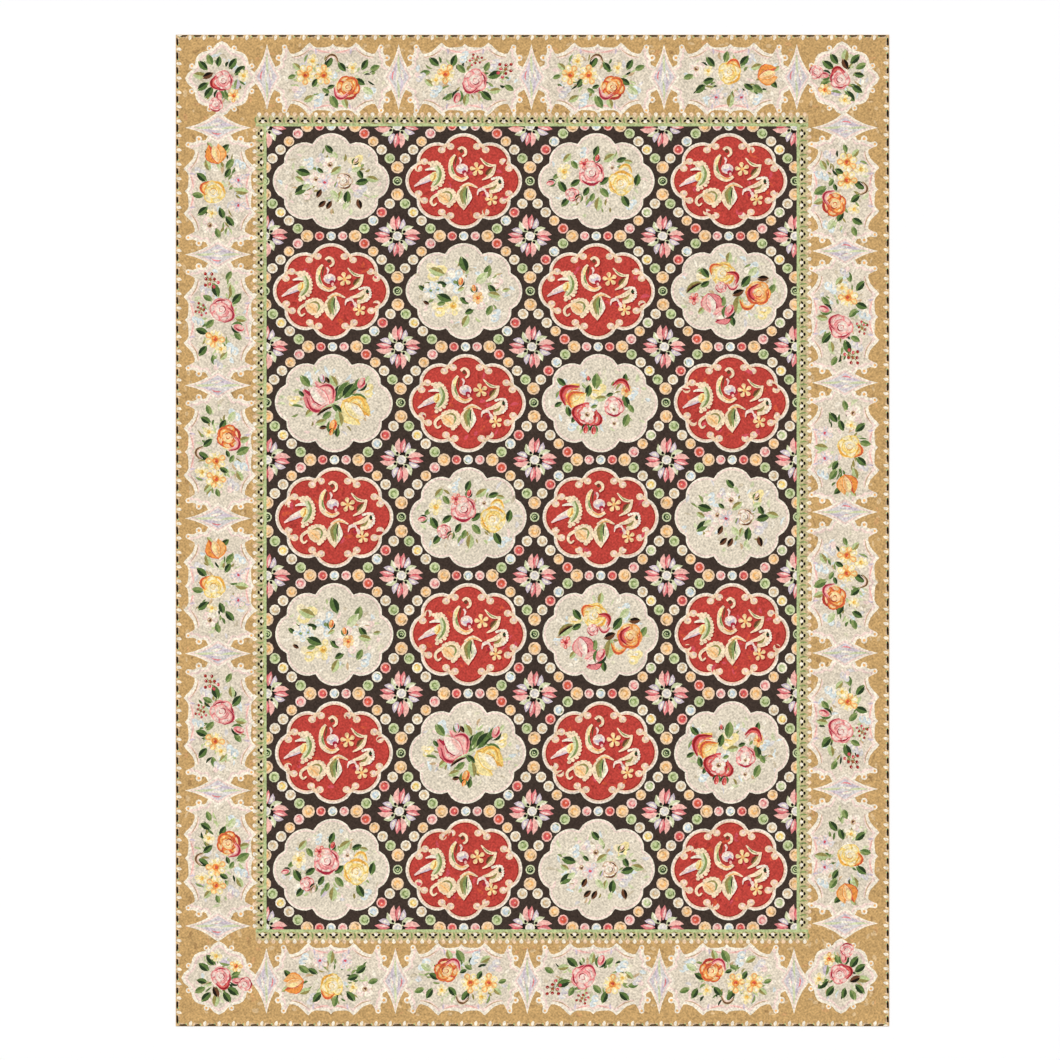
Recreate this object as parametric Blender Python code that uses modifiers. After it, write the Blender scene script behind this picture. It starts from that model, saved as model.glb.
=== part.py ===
"""Flat-woven wool rug, laid flat: one sheet of tapestry weave with a softly rolled edge.

The sheet lies in the XY plane with its length along Y. Z is up, and the underside rests at Z 0.
The origin is at the middle of the underside.
"""

import bmesh
import bpy

# Driving dimensions, in metres
WIDTH = 3.05
LENGTH = 4.24
THICKNESS = 0.003
CORNER_RADIUS = 0.006
EDGE_ROLL = 0.0012

# How finely the cloth and its rounded places are divided
CELLS_ACROSS = 10
CELLS_ALONG = 14
CORNER_STEPS = 4
ROLL_STEPS = 3

WOOL_COLOUR = (0.47, 0.33, 0.19, 1.0)
WOOL_ROUGHNESS = 0.95


def clear_scene():
    """Removes whatever the file holds, so that the rug is alone in it."""
    for old in list(bpy.data.objects):
        bpy.data.objects.remove(old)


def wool_material():
    """Matte wool in the mean colour of the pattern's gold, red, cream and near-black yarns."""
    wool = bpy.data.materials.new("wool")
    wool.use_nodes = True
    shader = wool.node_tree.nodes["Principled BSDF"]
    shader.inputs["Base Color"].default_value = WOOL_COLOUR
    shader.inputs["Roughness"].default_value = WOOL_ROUGHNESS
    shader.inputs["Metallic"].default_value = 0.0
    return wool


def cloth_sheet():
    """The woven sheet's underside: a flat grid of the rug's size with its four corners rounded."""
    cloth = bmesh.new()
    bmesh.ops.create_grid(cloth, x_segments=CELLS_ACROSS, y_segments=CELLS_ALONG, size=0.5)
    bmesh.ops.scale(cloth, vec=(WIDTH, LENGTH, 1.0), verts=cloth.verts)
    corners = [v for v in cloth.verts if len(v.link_faces) == 1]
    bmesh.ops.bevel(
        cloth,
        geom=corners,
        affect="VERTICES",
        offset=CORNER_RADIUS,
        segments=CORNER_STEPS,
        profile=0.5,
    )
    mesh = bpy.data.meshes.new("rug")
    cloth.to_mesh(mesh)
    cloth.free()
    return mesh


def make_rug(collection):
    """The rug: the sheet raised to its thickness, with the rims of both faces rolled over."""
    rug = bpy.data.objects.new("rug", cloth_sheet())
    collection.objects.link(rug)
    rug.data.materials.append(wool_material())

    weave = rug.modifiers.new("weave thickness", "SOLIDIFY")
    weave.thickness = THICKNESS
    weave.offset = 1.0

    roll = rug.modifiers.new("rolled edge", "BEVEL")
    roll.limit_method = "ANGLE"
    roll.width = EDGE_ROLL
    roll.segments = ROLL_STEPS
    return rug


def main():
    clear_scene()
    collection = bpy.data.collections.new("bessarabian_rug")
    bpy.context.scene.collection.children.link(collection)
    make_rug(collection)


main()
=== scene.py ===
"""A large flat-woven wool rug, laid flat: its whole pattern is cut into the cloth, yarn by yarn.

The pattern is drawn back to front as coloured patches, in stitches. The patches are cut along each
other's outlines into one flat sheet, and every face of the sheet takes the yarn of the patch on top.
"""

import math
import random

import bmesh
import bpy
import numpy as np
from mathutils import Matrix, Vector
from mathutils.geometry import delaunay_2d_cdt


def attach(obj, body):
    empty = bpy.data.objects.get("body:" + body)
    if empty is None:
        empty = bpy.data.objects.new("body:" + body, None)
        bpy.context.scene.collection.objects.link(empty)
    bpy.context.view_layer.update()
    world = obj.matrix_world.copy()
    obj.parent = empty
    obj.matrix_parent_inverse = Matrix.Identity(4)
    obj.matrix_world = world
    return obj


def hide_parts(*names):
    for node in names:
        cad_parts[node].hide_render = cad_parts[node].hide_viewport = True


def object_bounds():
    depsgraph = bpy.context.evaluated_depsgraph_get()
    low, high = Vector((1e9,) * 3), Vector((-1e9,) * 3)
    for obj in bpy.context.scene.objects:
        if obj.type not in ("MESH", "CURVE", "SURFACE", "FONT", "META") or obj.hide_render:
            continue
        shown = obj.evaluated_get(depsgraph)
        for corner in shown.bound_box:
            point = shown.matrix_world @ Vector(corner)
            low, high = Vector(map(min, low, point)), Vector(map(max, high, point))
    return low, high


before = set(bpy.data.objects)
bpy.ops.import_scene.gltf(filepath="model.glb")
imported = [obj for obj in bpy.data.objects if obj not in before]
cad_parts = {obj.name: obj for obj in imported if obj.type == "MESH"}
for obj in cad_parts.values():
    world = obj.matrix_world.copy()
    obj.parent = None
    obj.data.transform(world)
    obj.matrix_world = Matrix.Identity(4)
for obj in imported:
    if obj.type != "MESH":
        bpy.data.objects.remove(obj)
CAD_LOW, CAD_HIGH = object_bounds()

# The cloth, in metres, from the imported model
WIDTH = CAD_HIGH[0] - CAD_LOW[0]
LENGTH = CAD_HIGH[1] - CAD_LOW[1]
THICKNESS = CAD_HIGH[2] - CAD_LOW[2]

# The pattern is charted in stitches from the rug's middle, x to the right and y to the top
RUG_STITCHES_WIDE = 713


# Yarn colours as they look in daylight, each as red, green and blue out of 255
YARNS = {
    "ground": (64, 52, 45),
    "black": (30, 22, 16),
    "gold": (199, 161, 106),
    "dark_gold": (174, 138, 90),
    "light_gold": (214, 182, 136),
    "warm_gold": (206, 160, 108),
    "cream": (226, 210, 182),
    "bright_cream": (243, 232, 212),
    "warm_cream": (238, 206, 172),
    "ivory": (222, 214, 186),
    "pearl": (224, 211, 190),
    "pale_ground": (224, 212, 191),
    "shade_cream": (206, 192, 166),
    "straw": (242, 226, 186),
    "guard_green": (198, 184, 138),
    "curl_cream": (243, 219, 184),
    "tan": (200, 170, 132),
    "red": (189, 68, 59),
    "deep_red": (150, 34, 32),
    "red_shade": (170, 58, 50),
    "salmon": (220, 104, 88),
    "orange_red": (206, 86, 60),
    "orange": (232, 146, 70),
    "light_orange": (240, 180, 112),
    "peach": (243, 203, 152),
    "amber": (226, 164, 72),
    "yellow": (238, 200, 110),
    "pale_yellow": (244, 224, 160),
    "rose": (206, 82, 92),
    "deep_rose": (166, 44, 62),
    "pink": (226, 134, 134),
    "pale_pink": (240, 184, 172),
    "blush": (240, 212, 200),
    "lilac": (206, 190, 200),
    "grey_lilac": (216, 210, 206),
    "sky": (190, 204, 212),
    "pale_sky": (216, 224, 222),
    "dark_green": (44, 60, 36),
    "green": (92, 116, 62),
    "mid_green": (134, 150, 90),
    "pale_green": (184, 196, 140),
    "mist_green": (208, 212, 170),
    "olive": (150, 138, 80),
    "brown": (104, 66, 44),
}


def turned(points, angle):
    """The points turned about the middle by an angle in degrees, against the clock."""
    c = math.cos(math.radians(angle))
    s = math.sin(math.radians(angle))
    return [(x * c - y * s, x * s + y * c) for x, y in points]


def placed(shapes, x=0.0, y=0.0, turn=0.0, size=1.0):
    """A copy of some shapes, sized, turned and moved."""
    out = []
    for yarn, points in shapes:
        moved = turned([(px * size, py * size) for px, py in points], turn)
        out.append((yarn, [(px + x, py + y) for px, py in moved]))
    return out


def oval(yarn, x, y, rx, ry=None, turn=0.0, steps=10):
    """A round or oval patch."""
    ry = rx if ry is None else ry
    ring = [
        (rx * math.cos(2 * math.pi * i / steps), ry * math.sin(2 * math.pi * i / steps))
        for i in range(steps)
    ]
    return [(yarn, [(x + px, y + py) for px, py in turned(ring, turn)])]


def blade(yarn, x0, y0, x1, y1, width, bend=0.0, steps=4):
    """A leaf, pointed at both ends and curved to the left by bend, a share of its length."""
    length = math.hypot(x1 - x0, y1 - y0)
    angle = math.degrees(math.atan2(y1 - y0, x1 - x0))
    left = []
    right = []
    for i in range(steps + 1):
        t = i / steps
        middle = 4 * bend * length * t * (1 - t)
        half = 0.5 * width * math.sin(math.pi * t) ** 0.8
        left.append((t * length, middle + half))
        right.append((t * length, middle - half))
    outline = left + right[-2:0:-1]
    return [(yarn, [(x0 + px, y0 + py) for px, py in turned(outline, angle)])]


def petal(yarn, x, y, length, width, turn, steps=8):
    """A petal that is narrow where it starts, at x and y, and round at its far end."""
    outline = [(0.0, 0.0)]
    for i in range(steps + 1):
        a = math.pi * (i / steps - 0.5)
        outline.append((length - 0.5 * width + 0.5 * width * math.cos(a), 0.5 * width * math.sin(a)))
    return [(yarn, [(x + px, y + py) for px, py in turned(outline, turn)])]


def smooth(path, steps=3):
    """Points along the smooth curve that passes through every point of a path."""
    ends = [path[0]] + list(path) + [path[-1]]
    out = []
    for i in range(1, len(ends) - 2):
        a, b, c, d = ends[i - 1], ends[i], ends[i + 1], ends[i + 2]
        for k in range(steps):
            t = k / steps
            out.append(tuple(
                0.5 * (2 * b[j] + (c[j] - a[j]) * t
                       + (2 * a[j] - 5 * b[j] + 4 * c[j] - d[j]) * t * t
                       + (3 * b[j] - a[j] - 3 * c[j] + d[j]) * t * t * t)
                for j in (0, 1)
            ))
    out.append(tuple(path[-1]))
    return out


def stroke(yarn, path, start, middle=None, end=None, steps=3):
    """A band along a smooth path, whose width changes from its start to its middle and end."""
    middle = start if middle is None else middle
    end = middle if end is None else end
    line = smooth(path, steps)
    last = len(line) - 1
    left = []
    right = []
    for i, (x, y) in enumerate(line):
        ax, ay = line[max(i - 1, 0)]
        bx, by = line[min(i + 1, last)]
        run = math.hypot(bx - ax, by - ay) or 1.0
        t = 2 * i / last
        width = start + (middle - start) * t if t < 1 else middle + (end - middle) * (t - 1)
        nx = -(by - ay) / run * 0.5 * width
        ny = (bx - ax) / run * 0.5 * width
        left.append((x + nx, y + ny))
        right.append((x - nx, y - ny))
    return [(yarn, left + right[::-1])]


def grown(points, amount):
    """An outline made larger all round by an amount, for a line round a patch."""
    area = sum(
        ax * by - bx * ay for (ax, ay), (bx, by) in zip(points, points[1:] + points[:1])
    )
    side = amount if area > 0 else -amount
    out = []
    last = len(points)
    for i, (x, y) in enumerate(points):
        ax, ay = points[i - 1]
        bx, by = points[(i + 1) % last]
        run = math.hypot(bx - ax, by - ay) or 1.0
        out.append((x + (by - ay) / run * side, y - (bx - ax) / run * side))
    return out


def arc(x0, y0, x1, y1, rise, steps):
    """Points from one place up to another along a round bow that rises to the left of the way."""
    run = math.hypot(x1 - x0, y1 - y0)
    out = []
    for i in range(steps):
        t = i / steps
        bow = rise * (1 - (2 * t - 1) ** 2) ** 0.72
        out.append((
            x0 + (x1 - x0) * t - (y1 - y0) / run * bow,
            y0 + (y1 - y0) * t + (x1 - x0) / run * bow,
        ))
    return out


# Medallion: eight lobes between eight notches
LOBE_NOTCHES = ((18.8, 38.6), (-18.8, 38.6), (-47.0, 18.7), (-47.0, -18.7),
                (-18.8, -38.6), (18.8, -38.6), (47.0, -18.7), (47.0, 18.7))
LOBE_RISES = (11.3, 9.4, 11.3, 9.4)
LOBE_STEPS = 9


def medallion_outline():
    """The lobed edge of a medallion, from its upper right notch round to the left."""
    out = []
    for i, (x0, y0) in enumerate(LOBE_NOTCHES):
        x1, y1 = LOBE_NOTCHES[(i + 1) % 8]
        out += arc(x0, y0, x1, y1, -LOBE_RISES[i % 4], LOBE_STEPS)
    return out


def red_medallion():
    """The red patch in its thick pale rim, with a pair of small curls inside each notch."""
    edge = medallion_outline()
    shapes = [("bright_cream", edge), ("blush", grown(edge, -1.4)), ("warm_cream", grown(edge, -2.4))]
    shapes += [("deep_red", grown(edge, -3.4)), ("red", grown(edge, -4.4))]
    for nx, ny in LOBE_NOTCHES:
        sx = 1 if nx > 0 else -1
        sy = 1 if ny > 0 else -1
        upright = abs(nx) < 30
        first = (-5.6, -2.6) if upright else (-7.6, 1.6)
        second = (3.2, -6.2) if upright else (-1.8, -5.6)
        for dx, dy in (first, second):
            x = nx + sx * dx
            y = ny + sy * dy
            tendril = [(nx - sx * 1.0, ny - sy * 0.5), ((nx + x) / 2 - sx, (ny + y) / 2), (x, y)]
            shapes += stroke("warm_cream", tendril, 3.4)
            shapes += oval("warm_cream", x, y, 3.9, 3.5)
            shapes += oval("blush", x + 0.6, y + 0.7, 1.7)
    return shapes


def cream_medallion():
    """The plain pale medallion with its fine pinkish rim."""
    edge = medallion_outline()
    return [("bright_cream", edge), ("blush", grown(edge, -1.4)), ("pale_ground", grown(edge, -2.8))]


# Beads: the rim, the disc in it, its heart and its shaded side, by the name of the bead
BEAD_YARNS = {
    "cream": ("bright_cream", "cream", "light_gold", "tan"),
    "yellow": ("bright_cream", "pale_yellow", "yellow", "amber"),
    "orange": ("warm_cream", "peach", "light_orange", "dark_gold"),
    "russet": ("pale_pink", "salmon", "orange_red", "red"),
    "red": ("pale_pink", "salmon", "rose", "deep_red"),
    "pink": ("blush", "pale_pink", "pink", "rose"),
    "sky": ("bright_cream", "pale_sky", "sky", "mid_green"),
    "green": ("mist_green", "pale_green", "mid_green", "green"),
    "lime": ("bright_cream", "mist_green", "pale_green", "mid_green"),
    "ring": ("mist_green", "dark_green", "pale_green", "green"),
}
SMALL_BEAD = 4.8
SLANT_BEAD = 5.3
LARGE_BEAD = 6.4


def bead(name, x, y, r, turn):
    """A round bead: a pale rim, a coloured disc and a hook of deeper yarn in it."""
    rim, disc, heart, shade = BEAD_YARNS[name]
    hook = [
        (0.42 * r * math.cos(math.radians(a)), 0.42 * r * math.sin(math.radians(a)))
        for a in (20, 100, 180, 250)
    ]
    shapes = oval(rim, 0, 0, r, r, 0, 10)
    shapes += oval(disc, 0, 0, 0.72 * r, 0.72 * r, 18, 9)
    shapes += stroke(heart, hook, 0.16 * r, 0.32 * r, 0.12 * r, 2)
    shapes += blade(shade, -0.62 * r, -0.30 * r, 0.30 * r, -0.62 * r, 0.24 * r, -0.16, 3)
    shapes += oval(rim, 0.1 * r, -0.1 * r, 0.16 * r, 0.16 * r, 0, 5)
    return placed(shapes, x, y, turn)


# The field is four tiles wide and seven high, and grows a little towards its lower rows
TILE_WIDTH = 132.6
TILE_HEIGHT = 114.7
FIELD_LEFT = -267.7
FIELD_EDGES = (-266.0, 264.2, -399.0, 404.2)
ROW_MIDDLES = (349.5, 239.5, 128.0, 13.5, -103.5, -222.5, -339.1)
FIELD_BULGE = 4.6

# Where the columns' swell starts and how soon it is full, then the same for its end, as shares of the height
BULGE_RISE = (0.18, 0.24)
BULGE_FALL = (0.74, 0.22)


def row_height(v):
    """The height of a place v rows below the field's top, by the unequal rows of the hand-made field."""
    i = min(max(int(v - 0.5), 0), len(ROW_MIDDLES) - 2)
    t = v - 0.5 - i
    return ROW_MIDDLES[i] + (ROW_MIDDLES[i + 1] - ROW_MIDDLES[i]) * t


def ease(t):
    """A smooth step from 0 to 1."""
    t = min(max(t, 0.0), 1.0)
    return t * t * (3 - 2 * t)


def field_place(x, y):
    """Where a point of the evenly charted field comes in the rug, whose columns swell to the right."""
    v = -y / TILE_HEIGHT
    t = v / len(ROW_MIDDLES)
    rise, fall = (ease((t - start) / length) for start, length in (BULGE_RISE, BULGE_FALL))
    swell = FIELD_BULGE * rise * (1 - fall)
    across = 1 - 0.5 * abs((x - FIELD_LEFT) / (2 * TILE_WIDTH) - 1) ** 2
    return x + swell * across, row_height(v)


FLAT_BEADS = (("orange", -24.0), ("red", -11.6), ("sky", 0.0), ("pink", 11.6), ("orange", 24.0))
UPRIGHT_BEADS = (("orange", 14.3, LARGE_BEAD), ("ring", 0.0, 4.8), ("orange", -14.0, LARGE_BEAD))
# Beads from an upright run to a flat one, by the column of the upright run and the way they go
SLANT_RUNS = {
    "A": ("cream", "red", "sky", "green"),
    "B": ("cream", "cream", "orange", "russet"),
    "G": ("green", "cream", "orange", "russet"),
    "C": ("green", "yellow", "cream", "green"),
    "D": ("cream", "lime", "orange", "pink"),
    "E": ("cream", "cream", "orange", "pink"),
}
SLANT_COLUMNS = (
    {"down right": "C", "up right": "E"},
    {"down left": "A", "down right": "C", "up left": "G", "up right": "E"},
    {"down left": "A", "down right": "B", "up left": "G", "up right": "A"},
    {"down left": "D", "down right": "G", "up left": "C", "up right": "A"},
    {"down left": "D", "up left": "C"},
)
WAYS = {"down right": (1, -1), "up right": (1, 1), "down left": (-1, -1), "up left": (-1, 1)}


def trellis(rng):
    """The beads between the medallions, in the evenly charted field."""
    shapes = []
    for row in range(8):
        for column in range(4):
            x = FIELD_LEFT + (column + 0.5) * TILE_WIDTH
            swap = {"red": "pink", "pink": "red"} if column > 1 else {}
            for name, dx in FLAT_BEADS:
                r = LARGE_BEAD if name == "orange" else SMALL_BEAD
                shapes += bead(swap.get(name, name), x + dx, -row * TILE_HEIGHT, r, rng.uniform(0, 360))
    for row in range(7):
        y = -(row + 0.5) * TILE_HEIGHT
        for column in range(5):
            x = FIELD_LEFT + column * TILE_WIDTH
            for name, dy, r in UPRIGHT_BEADS:
                shapes += bead(name, x, y + dy, r, rng.uniform(0, 360))
            for way, run in SLANT_COLUMNS[column].items():
                sx, sy = WAYS[way]
                for k, name in enumerate(SLANT_RUNS[run], 1):
                    t = k / 5
                    bow = 5 * t * (1 - t)
                    dx = sx * ((TILE_WIDTH / 2 - 24) * t - bow)
                    dy = sy * (14.2 + (TILE_HEIGHT / 2 - 14.2) * t + bow)
                    shapes += bead(name, x + dx, y + dy, SLANT_BEAD, rng.uniform(0, 360))
    return shapes


def pinwheel_arm(rng):
    """One flower of a pinwheel, pointing up: a pale leaf on its left and a fan of pink petals."""
    shapes = blade("mist_green", -1.5, 4.0, -9.8, 15.8, 6.4, 0.14)
    shapes += blade("bright_cream", -3.0, 7.0, -8.8, 14.8, 2.4, 0.10)
    shapes += blade("pale_pink", -1.6, 6.0, -2.6, 22.8, 6.0, 0.12)
    shapes += blade("pink", 0.4, 7.0, 2.8, 22.4, 5.2, 0.0)
    shapes += blade("lilac", 2.4, 7.0, 7.6, 18.4, 5.6, -0.14)
    shapes += blade("rose", -0.8, 10.0, -0.4, 19.6, 1.5, 0.06)
    shapes += blade("blush", 1.2, 9.0, 3.2, 19.0, 1.9, 0.0)
    shapes += blade("bright_cream", 4.2, 9.0, 7.0, 15.6, 2.4, -0.12)
    shapes += oval("black", 1.2, 6.6, 3.0, 1.3, rng.uniform(4, 20), 7)
    shapes += oval("black", -4.4, 6.6, 1.5, 1.9, 30, 6)
    return shapes


def pinwheel(rng):
    """Four crowned flowers that turn round a small pale disc."""
    shapes = []
    for quarter in range(4):
        shapes += placed(pinwheel_arm(rng), 0, 0, 90 * quarter + rng.uniform(-4, 4), rng.uniform(0.94, 1.02))
    shapes += oval("bright_cream", 0, 0, 4.9, 4.7, 0, 10)
    shapes += oval("grey_lilac", 0, 0, 3.5, 3.4, 0, 8)
    shapes += oval("bright_cream", 0.6, 0.5, 1.2, 1.2, 0, 6)
    return shapes


MEDALLIONS = (
    ("lilies", "red", "two roses", "red"),
    ("red", "blue posy", "red", "red roses"),
    ("tulips", "red", "garland", "red"),
    ("red", "two roses", "red", "lilies"),
    ("blue posy", "red", "red roses", "red"),
    ("red", "tulips", "red", "garland"),
    ("two roses", "red", "lilies", "red"),
)


def field(rng):
    """The dark field with its trellis, pinwheels and medallions, still evenly charted."""
    shapes = trellis(rng)
    for row in range(8):
        for column in range(5):
            x = FIELD_LEFT + column * TILE_WIDTH
            shapes += placed(pinwheel(rng), x, -row * TILE_HEIGHT)
    for row, names in enumerate(MEDALLIONS):
        for column, name in enumerate(names):
            x = FIELD_LEFT + (column + 0.5) * TILE_WIDTH
            y = -(row + 0.5) * TILE_HEIGHT
            shapes += placed(medallion(name, rng), x, y)
    out = []
    for yarn, points in shapes:
        out.append((yarn, [field_place(px, py) for px, py in points]))
    return out


# Yarns of leaves and flowers, from the deepest to the palest
LEAF_TONES = {
    "dark": ("dark_green", "green", "pale_green"),
    "brown": ("black", "brown", "tan"),
    "green": ("green", "mid_green", "mist_green"),
    "olive": ("olive", "pale_green", "mist_green"),
    "faint": ("pale_green", "mist_green", "bright_cream"),
    "grey": ("mid_green", "lilac", "pale_sky"),
}
FLOWER_TONES = {
    "pink": ("deep_rose", "pink", "pale_pink", "blush", "bright_cream"),
    "yellow": ("amber", "yellow", "pale_yellow", "straw", "bright_cream"),
    "red": ("deep_red", "rose", "salmon", "pale_pink", "warm_cream"),
    "orange": ("orange_red", "orange", "light_orange", "peach", "pale_yellow"),
    "sunny": ("orange_red", "orange", "light_orange", "pale_yellow", "bright_cream"),
    "sky": ("mid_green", "sky", "pale_sky", "bright_cream", "bright_cream"),
    "lilac": ("rose", "lilac", "grey_lilac", "blush", "bright_cream"),
    "ember": ("red_shade", "orange_red", "orange", "peach", "pale_yellow"),
    "pale": ("brown", "tan", "blush", "bright_cream", "bright_cream"),
}


def leaf(size, tones):
    """A leaf of two greens with a light rib, its length along x."""
    deep, middle, pale = tones
    half = size / 2
    shapes = blade(pale, -half * 1.06, 0, half * 1.1, 0, 0.50 * size, 0.04)
    shapes += blade(middle, -half, -0.04 * size, half, -0.02 * size, 0.36 * size, -0.06)
    shapes += blade(deep, -half * 0.95, 0.06 * size, half, 0.03 * size, 0.26 * size, 0.10)
    return shapes


def stem(size, tones):
    """A thin stalk with a shadow on one side."""
    deep, middle, _ = tones
    half = size / 2
    shapes = blade(middle, -half, 0.4, half, 0.4, 2.6, 0.08)
    return shapes + blade(deep, -half, -0.5, half, -0.3, 1.9, 0.08)


def bow(yarn, x, y, radius, first, last, width):
    """A curved band round a middle, from one angle to another, thin at both ends."""
    path = []
    for i in range(4):
        a = math.radians(first + (last - first) * i / 3)
        path.append((x + radius * math.cos(a), y + radius * math.sin(a)))
    return stroke(yarn, path, 0.25 * width, width, 0.2 * width, 2)


def rose(size, tones):
    """An open rose: lapped outer petals, deep below and to the right, round a pale cup."""
    deep, body, light, pale, gleam = tones
    shapes = []
    for k in range(6):
        a = math.radians(60 * k + 12)
        x = 0.54 * size * math.cos(a)
        y = 0.54 * size * math.sin(a)
        shapes += oval(body, x, y, 0.49 * size, 0.40 * size, 60 * k + 102, 9)
        shapes += oval(light, 1.08 * x, 1.08 * y, 0.37 * size, 0.28 * size, 60 * k + 102, 8)
        shapes += oval(pale, 1.20 * x, 1.20 * y, 0.26 * size, 0.13 * size, 60 * k + 102, 7)
    shapes += bow(deep, 0, 0, 0.80 * size, 190, 292, 0.22 * size)
    shapes += bow(deep, 0, 0, 0.74 * size, -32, 44, 0.15 * size)
    shapes += oval(body, 0, -0.02 * size, 0.60 * size, 0.55 * size, 20, 10)
    shapes += oval(light, 0.02 * size, 0.04 * size, 0.54 * size, 0.48 * size, 20, 10)
    shapes += oval(pale, 0.0, 0.10 * size, 0.44 * size, 0.36 * size, 15, 9)
    shapes += oval(gleam, -0.10 * size, 0.18 * size, 0.24 * size, 0.15 * size, 25, 8)
    shapes += bow(body, 0.02 * size, 0.0, 0.40 * size, 170, 300, 0.12 * size)
    shapes += bow(deep, 0.04 * size, -0.02 * size, 0.27 * size, 200, 380, 0.11 * size)
    shapes += bow(body, 0.04 * size, 0.04 * size, 0.16 * size, 20, 240, 0.09 * size)
    shapes += bow(pale, 0, 0, 0.62 * size, 205, 275, 0.08 * size)
    shapes += bow(gleam, 0, 0, 0.88 * size, 100, 160, 0.10 * size)
    return shapes


def berries(size, tones):
    """A loose spray of small round berries on fine stalks."""
    deep, body, light, pale, _ = tones
    shapes = []
    for k in range(9):
        a = math.radians(137.5 * k)
        far = size * math.sqrt((k + 0.3) / 9)
        x = far * math.cos(a)
        y = far * math.sin(a) * 0.85
        shapes += blade("olive", 0, 0, x, y, 1.0, 0.05, 2)
        shapes += oval((deep, body, deep)[k % 3], x, y, 0.20 * size, 0.18 * size, 0, 6)
        shapes += oval((light, pale)[k % 2], x + 0.05 * size, y + 0.05 * size, 0.07 * size, 0.07 * size, 0, 4)
    return shapes


def bud(size, tones):
    """A closed bud that points along x, with a lapped petal and two green sepals."""
    deep, body, light, pale, _ = tones
    shapes = blade("green", -0.75 * size, 0.0, 0.30 * size, 0.38 * size, 0.26 * size, 0.2)
    shapes += blade("dark_green", -0.75 * size, 0.0, 0.25 * size, -0.38 * size, 0.24 * size, -0.2)
    shapes += oval(body, 0.0, 0.0, 0.52 * size, 0.32 * size, 0, 9)
    shapes += oval(light, 0.10 * size, 0.08 * size, 0.34 * size, 0.18 * size, 8, 8)
    shapes += blade(deep, -0.36 * size, -0.06 * size, 0.44 * size, -0.10 * size, 0.15 * size, -0.12)
    shapes += oval(pale, 0.26 * size, 0.06 * size, 0.12 * size, 0.07 * size, 0, 6)
    return shapes


def daisy(size, tones):
    """An open flower with round petals, shaded towards a dotted eye."""
    deep, body, light, pale, gleam = tones
    shapes = []
    for k in range(7):
        turn = 360 * k / 7 + 8
        a = math.radians(turn)
        shapes += petal(light if k % 2 else pale, 0, 0, size * (1.0 if k % 3 else 0.88), 0.62 * size, turn, 6)
        shapes += petal(pale if k % 2 else gleam, 0.42 * size * math.cos(a), 0.42 * size * math.sin(a),
                        0.44 * size, 0.30 * size, turn, 5)
    shapes += oval(body, 0, 0, 0.36 * size, 0.34 * size, 0, 8)
    shapes += oval(deep, -0.03 * size, -0.04 * size, 0.20 * size, 0.17 * size, 0, 7)
    shapes += oval(light, 0.08 * size, 0.10 * size, 0.09 * size, 0.09 * size, 0, 5)
    return shapes


def tulip(size, tones):
    """A tulip that opens along x, with a broad middle petal and rolled outer ones."""
    deep, body, light, pale, gleam = tones
    shapes = blade(deep, -0.95 * size, 0.0, 0.95 * size, 0.34 * size, 0.95 * size, 0.20, 5)
    shapes += blade(body, -0.90 * size, 0.04 * size, 1.0 * size, 0.42 * size, 0.62 * size, 0.22, 5)
    shapes += blade(body, -0.95 * size, 0.0, 0.85 * size, -0.38 * size, 0.90 * size, -0.20, 5)
    shapes += blade(light, -0.85 * size, -0.06 * size, 0.92 * size, -0.44 * size, 0.52 * size, -0.20, 5)
    shapes += blade(pale, -0.80 * size, 0.0, 0.80 * size, 0.0, 0.92 * size, 0.02, 5)
    shapes += blade(gleam, -0.35 * size, 0.10 * size, 0.66 * size, 0.08 * size, 0.36 * size, 0.06)
    shapes += blade(light, -0.60 * size, -0.12 * size, 0.50 * size, -0.18 * size, 0.24 * size, -0.05)
    shapes += stroke(deep, [(-0.8 * size, 0.10 * size), (0.0, 0.44 * size), (0.78 * size, 0.16 * size)],
                     0.04 * size, 0.09 * size, 0.03 * size)
    shapes += stroke(body, [(-0.8 * size, -0.12 * size), (0.0, -0.45 * size), (0.74 * size, -0.18 * size)],
                     0.04 * size, 0.09 * size, 0.03 * size)
    return shapes


def wash(size, tones):
    """A faint flower at the back of a posy: soft patches hardly darker than the ground."""
    _, body, light, pale, gleam = tones
    shapes = oval(light, 0.28 * size, 0.16 * size, 0.62 * size, 0.42 * size, 25, 8)
    shapes += oval(pale, -0.30 * size, 0.22 * size, 0.55 * size, 0.40 * size, -35, 8)
    shapes += oval(light, -0.10 * size, -0.40 * size, 0.50 * size, 0.38 * size, 10, 8)
    shapes += oval(gleam, 0.10 * size, 0.20 * size, 0.30 * size, 0.17 * size, 25, 7)
    shapes += oval(gleam, -0.20 * size, -0.34 * size, 0.26 * size, 0.15 * size, -20, 7)
    shapes += blade(body, -0.50 * size, 0.0, 0.34 * size, -0.08 * size, 0.16 * size, 0.1)
    return shapes


def crescent(size, tones):
    """A rolled petal: a bow of two tones with a light edge, open towards minus y."""
    deep, body, light, pale, _ = tones
    bow = [
        (-size, -0.5 * size), (-0.55 * size, 0.30 * size),
        (0.25 * size, 0.42 * size), (size, -0.35 * size),
    ]
    shapes = stroke(body, bow, 0.12 * size, 0.62 * size, 0.12 * size)
    shapes += stroke(deep, [(x, y + 0.08 * size) for x, y in bow], 0.05 * size, 0.26 * size, 0.05 * size)
    rim = [(x * 0.8, y - 0.22 * size) for x, y in bow]
    shapes += stroke(light, rim, 0.05 * size, 0.24 * size, 0.05 * size)
    shapes += oval(pale, 0.1 * size, 0.08 * size, 0.26 * size, 0.10 * size, -8, 6)
    return shapes


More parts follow.
